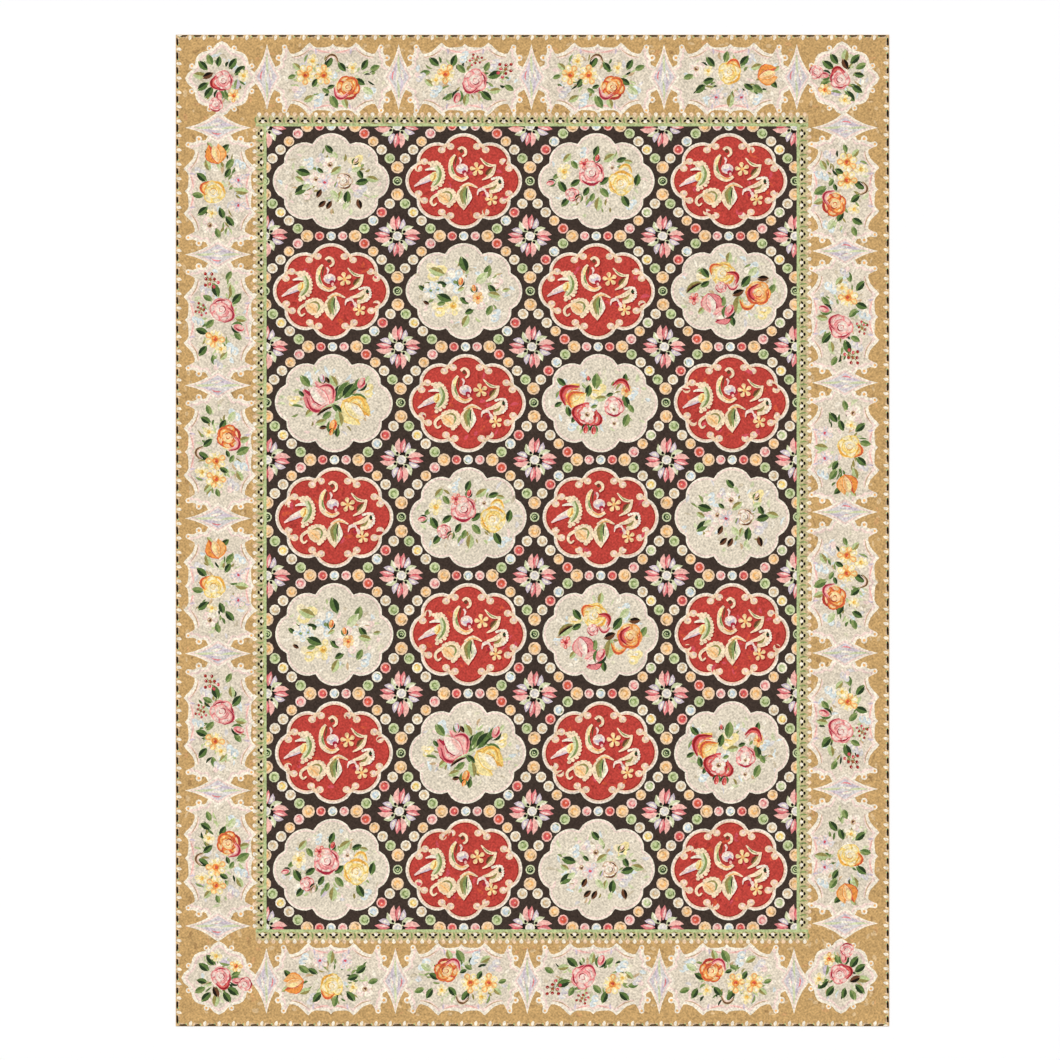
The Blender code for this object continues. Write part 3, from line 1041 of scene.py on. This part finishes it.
def cartouche(rng, length, posy_table):
    """A cartouche between two stars a given length apart, with its posy."""
    stretch = length / 2 / CARTOUCHE_LENGTH
    edge = all_round(CARTOUCHE_EDGE, stretch)
    shapes = [
        ("bright_cream", grown(edge, 1.0)),
        ("blush", shrunk(edge, 0.965, 0.93)),
        ("pearl", shrunk(edge, 0.93, 0.84)),
    ]
    for side_x in (1, -1):
        for side_y in (1, -1):
            for x, y, r in BALLS:
                shapes += oval("bright_cream", side_x * x * stretch, side_y * y, r, r, 0, 8)
                shapes += oval("light_orange", side_x * x * stretch, side_y * y, r * 0.5, r * 0.5, 0, 5)
            for yarn, line, thin, thick in CARTOUCHE_LINES:
                mirrored = [(side_x * x * stretch, side_y * y) for x, y in line]
                shapes += stroke(yarn, mirrored, thin, thick, thin)
            shapes += blade(
                "lilac", side_x * 18 * stretch, side_y * 31, side_x * 17 * stretch, side_y * 24, 2.0, 0.1
            )
    shapes += faint_strokes(rng, 44, 52 * stretch, 25) + sprays(rng, 46, 44, 22, SPRAY_YARNS)
    return shapes + posy(posy_table)


def corner_cartouche(rng):
    """The smaller, rounder cartouche in each corner."""
    edge = []
    for k in range(48):
        a = 2 * math.pi * k / 48
        tip = max(0.0, math.cos(4 * a)) ** 3 * 3.6
        wave = 1.6 * math.cos(8 * a)
        edge.append(((30.5 + tip + wave) * math.cos(a), (31.5 + tip + wave) * math.sin(a)))
    shapes = [
        ("bright_cream", grown(edge, 1.0)),
        ("blush", shrunk(edge, 0.94, 0.94)),
        ("pearl", shrunk(edge, 0.86, 0.86)),
    ]
    for k in range(8):
        a = math.radians(45 * k + 22.5)
        shapes += oval("bright_cream", 32.5 * math.cos(a), 33 * math.sin(a), 2.8, 2.8, 0, 8)
        shapes += oval("light_orange", 32.5 * math.cos(a), 33 * math.sin(a), 1.4, 1.4, 0, 5)
    shapes += faint_strokes(rng, 26, 25, 26) + sprays(rng, 26, 22, 22, SPRAY_YARNS)
    return shapes + posy(CORNER_POSY)


def gold_flecks(rng, half_length):
    """Lighter and darker flecks over the gold of one side."""
    shapes = []
    for _ in range(int(half_length * 1.1)):
        x = rng.uniform(-half_length, half_length)
        y = rng.uniform(-36, 34)
        yarn = rng.choice(("dark_gold", "light_gold", "light_gold", "warm_gold"))
        shapes += oval(yarn, x, y, rng.uniform(1.4, 4.6), rng.uniform(0.9, 2.4), rng.uniform(-30, 30), 6)
    return shapes


def inner_guard(rng, x0, x1, foot, top):
    """The band of small dotted triangles next to the field, from x0 to x1, its foot on the field."""
    shapes = [("guard_green", [(x0, foot), (x1, foot), (x1, top), (x0, top)])]
    shapes.append(("pale_green", [(x0, foot), (x1, foot), (x1, foot + 3.0), (x0, foot + 3.0)]))
    count = max(1, round((x1 - x0) / GUARD_STEP))
    step = (x1 - x0) / count
    middle = foot + 5.6
    for k in range(count):
        x = x0 + (k + 0.5) * step
        for side, yarn in ((-1, "bright_cream"), (1, "warm_cream")):
            tooth = x + side * 0.25 * step
            shapes += petal(yarn, tooth, top - 2.2, 5.4, 4.2, 90, 5)
        shapes += blade("mid_green", x - 0.44 * step, foot + 2.6, x - 0.5 * step, top - 1.0, 2.0, 0.1)
        shapes += blade("tan", x + 0.36 * step, top - 4.4, x + 0.50 * step, top + 1.4, 1.8, 0.1)
        shapes += blade("olive", x - 0.3 * step, foot + 3.4, x + 0.1 * step, foot + 2.6, 1.6, 0.0)
        shapes += oval("bright_cream", x, middle - 0.8, 2.1, 1.9, 0, 7)
        shapes += oval("black", x, middle + 2.2, 1.9, 1.25, rng.uniform(-14, 14), 7)
        shapes += oval("black", x - 2.9, middle - 0.2, 1.8, 1.15, 32, 7)
        shapes += oval("black", x + 2.9, middle - 0.2, 1.8, 1.15, -32, 7)
    return shapes


def outer_guard(rng, x0, x1, foot, top):
    """The narrow band of dark dashes at the rug's very edge, with pale teeth between them."""
    shapes = [("light_gold", [(x0, foot + 1.5), (x1, foot + 1.5), (x1, top), (x0, top)])]
    count = round((x1 - x0) / GUARD_STEP)
    step = (x1 - x0) / count
    for k in range(count):
        x = x0 + (k + 0.5) * step
        shapes += blade("bright_cream", x + 0.50 * step, top, x + 0.42 * step, foot - 2.4, 3.4, 0.05)
        shapes += blade("warm_cream", x + 0.24 * step, top - 1, x + 0.16 * step, foot - 0.4, 2.4, 0.05)
        shapes += blade("pale_green", x - 0.24 * step, top - 1, x - 0.20 * step, foot, 2.2, 0.05)
        length = rng.uniform(3.2, 4.6)
        shapes += oval("black", x, top - 1.2, length, 1.25, rng.uniform(-4, 4), 9)
        shapes += oval("tan", x + 1.2, top - 2.9, length * 0.6, 0.8, 0, 7)
    return shapes


def border(rng):
    """The gold band with its guards, cartouches and stars, back to front."""
    left, right, low, high = FIELD_EDGES
    guard_left, guard_right, guard_low, guard_high = GUARD_EDGES
    edge_left, edge_right, edge_low, edge_high = RUG_EDGES
    shapes = []
    for x0, y0, x1, y1 in ((-360, -500, left, 500), (right, -500, 360, 500), (left, high, right, 500),
                           (left, -500, right, low)):
        shapes.append(("gold", [(x0, y0), (x1, y0), (x1, y1), (x0, y1)]))
    for (x, y), turn, stars, _ in BORDER_SIDES:
        shapes += placed(gold_flecks(rng, abs(stars[0]) + 75), x, y, turn)
    # Each guard is as long as its side, and the upright ones stop at the level ones
    shapes += placed(inner_guard(rng, guard_left, guard_right, high, guard_high))
    shapes += placed(inner_guard(rng, -guard_right, -guard_left, -low, -guard_low), 0, 0, 180)
    shapes += placed(inner_guard(rng, low, high, -left, -guard_left), 0, 0, 90)
    shapes += placed(inner_guard(rng, -high, -low, right, guard_right), 0, 0, -90)
    shapes += placed(outer_guard(rng, edge_left, edge_right, edge_high - 3.4, edge_high))
    shapes += placed(outer_guard(rng, -edge_right, -edge_left, -edge_low - 3.4, -edge_low), 0, 0, 180)
    shapes += placed(outer_guard(rng, edge_low, edge_high, -edge_left - 3.4, -edge_left), 0, 0, 90)
    shapes += placed(outer_guard(rng, -edge_high, -edge_low, edge_right - 3.4, edge_right), 0, 0, -90)
    for (x, y), turn, stars, posies in BORDER_SIDES:
        for first, second, name in zip(stars, stars[1:], posies):
            made = cartouche(rng, second - first, BORDER_POSIES[name])
            shapes += placed(placed(made, (first + second) / 2, -CARTOUCHE_DROP), x, y, turn)
    for x, y, turn in CORNERS:
        shapes += placed(corner_cartouche(rng), x, y, turn)
    for (x, y), turn, stars, _ in BORDER_SIDES:
        for along in stars:
            shapes += placed(placed(star(), along), x, y, turn)
    return shapes


def rug_shapes():
    """Every patch of the rug's pattern, back to front."""
    rng = random.Random(7)
    left, right, low, high = FIELD_EDGES
    shapes = [("ground", [(left, low), (right, low), (right, high), (left, high)])]
    return shapes + field(rng) + border(rng)


# One stitch of the pattern, in metres, and the smallest step between two places in it
STITCH = WIDTH / RUG_STITCHES_WIDE
SAME_PLACE = 0.02

# The turned edge of the cloth and the slight swell of its face, in metres
EDGE_ROLL = 0.0012
EDGE_STEPS = 4
EDGE_REACHES = [math.sin(math.pi * step / EDGE_STEPS) for step in range(EDGE_STEPS + 1)]
EDGE_HEIGHTS = [0.5 + 0.5 * math.cos(math.pi * step / EDGE_STEPS) for step in range(EDGE_STEPS + 1)]
SWELL = 0.00035

# Places this near an edge of the cloth lie on it, and smaller patches are left out, in stitches
NEAR_EDGE = 0.3
SMALLEST_PATCH = 0.0004

# The field is built in this many parts, one above the other
FIELD_PARTS = 3


def cut_outlines(outlines, chosen_edges=None):
    """Cuts outlines along each other and returns the places and triangles of the flat sheet."""
    places = []
    edges = []
    for outline in outlines:
        start = len(places)
        count = len(outline)
        places += [Vector(p) for p in outline]
        edges += [(start + i, start + (i + 1) % count) for i in range(count)]
    if chosen_edges is not None:
        places, edges = chosen_edges
    flat = delaunay_2d_cdt(places, edges, [], 0, SAME_PLACE, False)
    return np.array([tuple(p) for p in flat[0]]), np.array(flat[2])


def inside(outline, x, y):
    """Which of the places x and y lie in an outline, counted by how it winds round them."""
    winding = np.zeros(len(x), int)
    for (ax, ay), (bx, by) in zip(outline, outline[1:] + outline[:1]):
        side = (bx - ax) * (y - ay) - (by - ay) * (x - ax)
        winding += (ay <= y) & (by > y) & (side > 0)
        winding -= (by <= y) & (ay > y) & (side < 0)
    return winding != 0


def yarn_of_faces(shapes, places, triangles):
    """The number of the yarn on top at each triangle's middle."""
    middles = places[triangles].mean(axis=1)
    order = np.argsort(middles[:, 0])
    x = middles[order, 0]
    y = middles[order, 1]
    yarn_numbers = {name: i for i, name in enumerate(YARNS)}
    top = np.zeros(len(order), int)
    for yarn, outline in shapes:
        xs = [p[0] for p in outline]
        ys = [p[1] for p in outline]
        first = np.searchsorted(x, min(xs))
        last = np.searchsorted(x, max(xs))
        near = np.nonzero((y[first:last] >= min(ys)) & (y[first:last] <= max(ys)))[0] + first
        if len(near):
            hit = near[inside(outline, x[near], y[near])]
            top[hit] = yarn_numbers[yarn]
    out = np.empty(len(order), int)
    out[order] = top
    return out


def faces_in(zone, places, triangles):
    """Which triangles have their middle in a zone."""
    left, right, low, high = zone
    middles = places[triangles].mean(axis=1)
    across = (middles[:, 0] > left) & (middles[:, 0] < right)
    return across & (middles[:, 1] > low) & (middles[:, 1] < high)


def corners_of(zone):
    """The corners of a zone, against the clock."""
    left, right, low, high = zone
    return [(left, low), (right, low), (right, high), (left, high)]


def pulled_to(zone, x, y):
    """A place, moved onto the edge of a zone that it nearly touches."""
    left, right, low, high = zone
    x = next((edge for edge in (left, right) if abs(x - edge) < NEAR_EDGE), x)
    y = next((edge for edge in (low, high) if abs(y - edge) < NEAR_EDGE), y)
    return x, y


def flat_pattern(shapes, zone):
    """The pattern in a zone as a flat sheet of triangles, with only the edges where two yarns meet."""
    left, right, low, high = zone
    near = [
        (yarn, [pulled_to(zone, x, y) for x, y in outline]) for yarn, outline in shapes
        if max(p[0] for p in outline) > left and min(p[0] for p in outline) < right
        and max(p[1] for p in outline) > low and min(p[1] for p in outline) < high
    ]
    places, triangles = cut_outlines([outline for _, outline in near] + [corners_of(zone)])
    yarns = yarn_of_faces(near, places, triangles)
    yarns[~faces_in(zone, places, triangles)] = -1
    sides = {}
    for face, (a, b, c) in enumerate(triangles.tolist()):
        for edge in ((a, b), (b, c), (c, a)):
            sides.setdefault((min(edge), max(edge)), []).append(yarns[face])
    kept = [edge for edge, found in sides.items() if len(found) == 1 or found[0] != found[1]]
    used = sorted({p for edge in kept for p in edge})
    number = {p: i for i, p in enumerate(used)}
    seams = [(number[a], number[b]) for a, b in kept]
    places, triangles = cut_outlines([], ([Vector(places[p]) for p in used], seams))
    places = np.array([pulled_to(zone, x, y) for x, y in places])
    a, b, c = (places[triangles[:, i]] for i in range(3))
    areas = (b - a)[:, 0] * (c - a)[:, 1] - (b - a)[:, 1] * (c - a)[:, 0]
    triangles = triangles[faces_in(zone, places, triangles) & (areas > SMALLEST_PATCH)]
    return places, triangles, yarn_of_faces(near, places, triangles)


def swell_at(x, y):
    """How far the face lies below its highest at a place, from 0 to 1, in long uneven swells."""
    across = math.sin(9.1 * x + 2.0 * math.sin(3.7 * y))
    along = math.sin(7.3 * y + 2.0 * math.sin(4.3 * x))
    return 0.5 + 0.25 * (across + along)


def woven_piece(name, shapes, zone):
    """A closed slab of cloth: the cut pattern on its face, a turned edge and a plain back."""
    places, triangles, yarns = flat_pattern(shapes, zone)
    used, corners = np.unique(triangles, return_inverse=True)
    cloth = bmesh.new()
    for x, y in (places[used] * STITCH).tolist():
        cloth.verts.new((x, y, THICKNESS - SWELL * swell_at(x, y)))
    cloth.verts.ensure_lookup_table()
    for face in corners.reshape(-1, 3).tolist():
        cloth.faces.new([cloth.verts[i] for i in face])
    rim = [edge for edge in cloth.edges if edge.is_boundary]
    for step in range(EDGE_STEPS):
        made = bmesh.ops.extrude_edge_only(cloth, edges=rim)["geom"]
        rim = [part for part in made if isinstance(part, bmesh.types.BMEdge)]
        reach = EDGE_ROLL * (EDGE_REACHES[step + 1] - EDGE_REACHES[step])
        for vert in {v for edge in rim for v in edge.verts}:
            if abs(vert.co.x) > WIDTH / 2 - 2 * EDGE_ROLL:
                vert.co.x += math.copysign(reach, vert.co.x)
            if abs(vert.co.y) > LENGTH / 2 - 2 * EDGE_ROLL:
                vert.co.y += math.copysign(reach, vert.co.y)
            vert.co.z *= EDGE_HEIGHTS[step + 1] / EDGE_HEIGHTS[step]
    bmesh.ops.triangle_fill(cloth, edges=rim, use_beauty=False, normal=(0.0, 0.0, -1.0))
    mesh = bpy.data.meshes.new(name)
    cloth.to_mesh(mesh)
    cloth.free()
    piece = bpy.data.objects.new(name, mesh)
    bpy.context.scene.collection.objects.link(piece)
    plain = [list(YARNS).index("gold")] * (len(mesh.polygons) - len(triangles))
    dye_faces(mesh, yarns.tolist() + plain)
    return piece


def linear(channel):
    """A colour channel out of 255, as the light that it gives back."""
    c = channel / 255
    return c / 12.92 if c <= 0.04045 else ((c + 0.055) / 1.055) ** 2.4


def dye_faces(mesh, yarn_list):
    """Gives each face of a piece the colour of its yarn, as an attribute that the wool reads."""
    palette = np.array([[linear(c) for c in rgb] + [1.0] for rgb in YARNS.values()])
    colours = palette[np.array(yarn_list)]
    dye = mesh.color_attributes.new("yarn_colour", "FLOAT_COLOR", "CORNER")
    sizes = np.array([p.loop_total for p in mesh.polygons])
    dye.data.foreach_set("color", np.repeat(colours, sizes, axis=0).astype(np.float32).ravel())


def add_node(tree, kind, place, settings=None, **values):
    """A node at a place in its tree, with properties from settings and sockets from values."""
    node = tree.nodes.new(kind)
    node.location = place
    for key, value in (settings or {}).items():
        setattr(node, key, value)
    for key, value in values.items():
        node.inputs[key.replace("_", " ")].default_value = value
    return node


def group_with(name, inputs, outputs):
    """An empty shader node group with named sockets: name, kind and value."""
    group = bpy.data.node_groups.new(name, "ShaderNodeTree")
    for label, kind, value in inputs:
        socket = group.interface.new_socket(label, in_out="INPUT", socket_type=kind)
        socket.default_value = value
    for label, kind in outputs:
        group.interface.new_socket(label, in_out="OUTPUT", socket_type=kind)
    entry = group.nodes.new("NodeGroupInput")
    entry.location = (-900, 0)
    leave = group.nodes.new("NodeGroupOutput")
    leave.location = (900, 0)
    return group, entry, leave


def math_node(tree, operation, place, a, b=None, c=None):
    """A Math node whose inputs are numbers or sockets."""
    node = add_node(tree, "ShaderNodeMath", place, {"operation": operation})
    for socket, value in zip(node.inputs, (a, b, c)):
        if value is None:
            continue
        if hasattr(value, "is_output"):
            tree.links.new(value, socket)
        else:
            socket.default_value = value
    return node.outputs[0]


# How much each stitch's own shade and the spun yarn's shade count in the weave, and their mean
OWN_SHADE = 0.55
SPUN_SHADE = 0.9
MEAN_SHADE = 0.725

# How far the ribs, the fuzz and each stitch stand out, as shares of the relief
RIB_HEIGHT = -0.35
FUZZ_HEIGHT = 0.8
STITCH_HEIGHT = 0.35

# The wool: its finish, how much its shade changes by stitch and by band of dye, and its relief in metres
WOOL_ROUGHNESS = 0.95
WOOL_SHEEN = 0.1
STITCH_CHANGE = 1.0
DYE_CHANGE = 0.25
RELIEF_STRENGTH = 0.35
RELIEF_DEPTH = 0.0012


def weave_group():
    """Tapestry weave: ribs of weft over the warps, one stitch apart, each stitch its own shade."""
    group, entry, leave = group_with(
        "tapestry weave",
        [("Stitches per metre", "NodeSocketFloat", 230.0), ("Shade change", "NodeSocketFloat", 0.2)],
        [("Shade", "NodeSocketFloat"), ("Height", "NodeSocketFloat")],
    )
    link = group.links.new
    where = add_node(group, "ShaderNodeTexCoord", (-900, 300))
    stitches = add_node(group, "ShaderNodeVectorMath", (-700, 300), {"operation": "SCALE"})
    link(where.outputs["Object"], stitches.inputs[0])
    link(entry.outputs["Stitches per metre"], stitches.inputs["Scale"])
    cell = add_node(group, "ShaderNodeVectorMath", (-500, 400), {"operation": "FLOOR"})
    link(stitches.outputs[0], cell.inputs[0])
    flat_cell = add_node(group, "ShaderNodeVectorMath", (-320, 400), {"operation": "MULTIPLY"})
    flat_cell.inputs[1].default_value = (1.0, 1.0, 0.0)
    link(cell.outputs[0], flat_cell.inputs[0])
    own = add_node(group, "ShaderNodeTexWhiteNoise", (-140, 400), {"noise_dimensions": "3D"})
    link(flat_cell.outputs[0], own.inputs["Vector"])
    spun = add_node(group, "ShaderNodeTexNoise", (-320, 120), Scale=0.55, Detail=2.0, Roughness=0.6)
    link(stitches.outputs[0], spun.inputs["Vector"])
    blend = math_node(group, "MULTIPLY_ADD", (60, 300), own.outputs["Value"], OWN_SHADE,
                      math_node(group, "MULTIPLY", (-120, 160), spun.outputs["Fac"], SPUN_SHADE))
    centred = math_node(group, "SUBTRACT", (240, 300), blend, MEAN_SHADE)
    shade = math_node(group, "MULTIPLY_ADD", (420, 300), centred, entry.outputs["Shade change"], 1.0)
    link(shade, leave.inputs["Shade"])
    split = add_node(group, "ShaderNodeSeparateXYZ", (-500, -200))
    link(stitches.outputs[0], split.inputs[0])
    heights = []
    for axis, place in (("X", (-300, -150)), ("Y", (-300, -350))):
        turn = math_node(group, "MULTIPLY", place, split.outputs[axis], 2 * math.pi)
        heights.append(math_node(group, "COSINE", (place[0] + 180, place[1]), turn))
    ribs = math_node(group, "MULTIPLY_ADD", (60, -200), heights[0], RIB_HEIGHT,
                     math_node(group, "MULTIPLY", (-20, -340), heights[1], RIB_HEIGHT))
    fuzz = math_node(group, "MULTIPLY_ADD", (260, -200), spun.outputs["Fac"], FUZZ_HEIGHT, ribs)
    height = math_node(group, "MULTIPLY_ADD", (440, -200), own.outputs["Value"], STITCH_HEIGHT, fuzz)
    link(height, leave.inputs["Height"])
    return group


def abrash_group():
    """Uneven dye: broad soft bands across the cloth where one batch of yarn gives way to the next."""
    group, entry, leave = group_with(
        "uneven dye",
        [("Strength", "NodeSocketFloat", 0.1)],
        [("Shade", "NodeSocketFloat")],
    )
    where = add_node(group, "ShaderNodeTexCoord", (-900, 0))
    stretch = add_node(group, "ShaderNodeMapping", (-700, 0))
    stretch.inputs["Scale"].default_value = (1.2, 9.0, 1.0)
    group.links.new(where.outputs["Object"], stretch.inputs["Vector"])
    bands = add_node(group, "ShaderNodeTexNoise", (-500, 0), Scale=1.6, Detail=3.0, Roughness=0.55)
    group.links.new(stretch.outputs[0], bands.inputs["Vector"])
    centred = math_node(group, "SUBTRACT", (-300, 0), bands.outputs["Fac"], 0.5)
    shade = math_node(group, "MULTIPLY_ADD", (-120, 0), centred, entry.outputs["Strength"], 1.0)
    group.links.new(shade, leave.inputs["Shade"])
    return group


def wool_material(weave, abrash):
    """Matte wool in the colour of each face's yarn, woven and dyed unevenly."""
    wool = bpy.data.materials.new("woven wool")
    wool.use_nodes = True
    tree = wool.node_tree
    shader = tree.nodes["Principled BSDF"]
    shader.inputs["Roughness"].default_value = WOOL_ROUGHNESS
    shader.inputs["Specular IOR Level"].default_value = WOOL_SHEEN
    yarn = add_node(tree, "ShaderNodeVertexColor", (-900, 300), {"layer_name": "yarn_colour"})
    stitch = add_node(tree, "ShaderNodeGroup", (-900, 0), {"node_tree": weave})
    stitch.inputs["Stitches per metre"].default_value = 1 / STITCH
    stitch.inputs["Shade change"].default_value = STITCH_CHANGE
    dye = add_node(tree, "ShaderNodeGroup", (-900, -250), {"node_tree": abrash})
    dye.inputs["Strength"].default_value = DYE_CHANGE
    both = math_node(tree, "MULTIPLY", (-650, 0), stitch.outputs["Shade"], dye.outputs["Shade"])
    tint = add_node(tree, "ShaderNodeVectorMath", (-450, 200), {"operation": "SCALE"})
    tree.links.new(yarn.outputs["Color"], tint.inputs[0])
    tree.links.new(both, tint.inputs["Scale"])
    tree.links.new(tint.outputs[0], shader.inputs["Base Color"])
    relief = add_node(tree, "ShaderNodeBump", (-250, -200))
    relief.inputs["Strength"].default_value = RELIEF_STRENGTH
    relief.inputs["Distance"].default_value = RELIEF_DEPTH
    tree.links.new(stitch.outputs["Height"], relief.inputs["Height"])
    tree.links.new(relief.outputs[0], shader.inputs["Normal"])
    return wool


# The floor's size and how far it lies under the cloth, in metres, and its finish
FLOOR_SIZE = 60.0
FLOOR_DROP = 0.0005
FLOOR_WHITE = 0.98
FLOOR_ROUGHNESS = 0.9

# The light: strength of the sky and the lamp, and the lamp's breadth and tilt in degrees
SKY_STRENGTH = 0.72
LAMP_STRENGTH = 1.55
LAMP_BREADTH = 18
LAMP_TILT = -38


def pale_floor():
    """A plain pale floor under the rug."""
    bpy.ops.object.select_all(action="DESELECT")
    bpy.ops.mesh.primitive_plane_add(size=FLOOR_SIZE, location=(0.0, 0.0, -FLOOR_DROP))
    floor = bpy.context.object
    floor.name = "floor"
    finish = bpy.data.materials.new("pale floor")
    finish.use_nodes = True
    shader = finish.node_tree.nodes["Principled BSDF"]
    shader.inputs["Base Color"].default_value = (FLOOR_WHITE, FLOOR_WHITE, FLOOR_WHITE, 1.0)
    shader.inputs["Roughness"].default_value = FLOOR_ROUGHNESS
    floor.data.materials.append(finish)


def soft_light():
    """Even studio light from all round, with a broad lamp to the upper left that shows the weave."""
    world = bpy.data.worlds.new("studio")
    world.use_nodes = True
    sky = world.node_tree.nodes["Background"]
    sky.inputs["Color"].default_value = (1.0, 1.0, 1.0, 1.0)
    sky.inputs["Strength"].default_value = SKY_STRENGTH
    bpy.context.scene.world = world
    lamp = bpy.data.lights.new("window lamp", "SUN")
    lamp.energy = LAMP_STRENGTH
    lamp.angle = math.radians(LAMP_BREADTH)
    holder = bpy.data.objects.new("window lamp", lamp)
    holder.rotation_euler = (math.radians(LAMP_TILT), math.radians(LAMP_TILT), 0.0)
    bpy.context.scene.collection.objects.link(holder)


# The photograph shows the rug from straight above, in a square frame
PHOTO_SIZE = 1060
PHOTO_RUG_MIDDLE = (532.5, 530.5)
LENS = 100.0
SENSOR = 36.0


def photo_camera():
    """A camera straight above the rug, as far off as frames it as in the photograph."""
    frame_size = PHOTO_SIZE * STITCH
    data = bpy.data.cameras.new("camera")
    data.lens = LENS
    data.sensor_width = SENSOR
    data.clip_end = 200.0
    camera = bpy.data.objects.new("camera", data)
    middle = PHOTO_SIZE / 2
    camera.location = (
        (middle - PHOTO_RUG_MIDDLE[0]) * STITCH,
        (PHOTO_RUG_MIDDLE[1] - middle) * STITCH,
        THICKNESS + frame_size * LENS / SENSOR,
    )
    bpy.context.scene.collection.objects.link(camera)
    bpy.context.scene.camera = camera


def cloth_zones():
    """The parts that the rug is built in, each with its left, right, low and high, in stitches."""
    half_wide = (WIDTH / 2 - EDGE_ROLL) / STITCH
    half_long = (LENGTH / 2 - EDGE_ROLL) / STITCH
    left, right, low, high = FIELD_EDGES
    zones = {
        "rug_border_top": (-half_wide, half_wide, high, half_long),
        "rug_border_foot": (-half_wide, half_wide, -half_long, low),
        "rug_border_left": (-half_wide, left, low, high),
        "rug_border_right": (right, half_wide, low, high),
    }
    rows = (high - low) / FIELD_PARTS
    for part in range(FIELD_PARTS):
        zones[f"rug_field_{part + 1}"] = (left, right, low + part * rows, low + (part + 1) * rows)
    return zones


def lay_rug():
    """The rug, woven in parts that meet edge to edge, as one flat cloth on the floor."""
    shapes = rug_shapes()
    wool = wool_material(weave_group(), abrash_group())
    for name, zone in cloth_zones().items():
        piece = woven_piece(name, shapes, zone)
        piece.data.materials.append(wool)
        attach(piece, "root")
        print(name, "triangles", sum(len(p.vertices) - 2 for p in piece.data.polygons))
    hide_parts("rug")


photo_camera()
soft_light()
pale_floor()
lay_rug()
bpy.context.scene.view_settings.view_transform = "Standard"
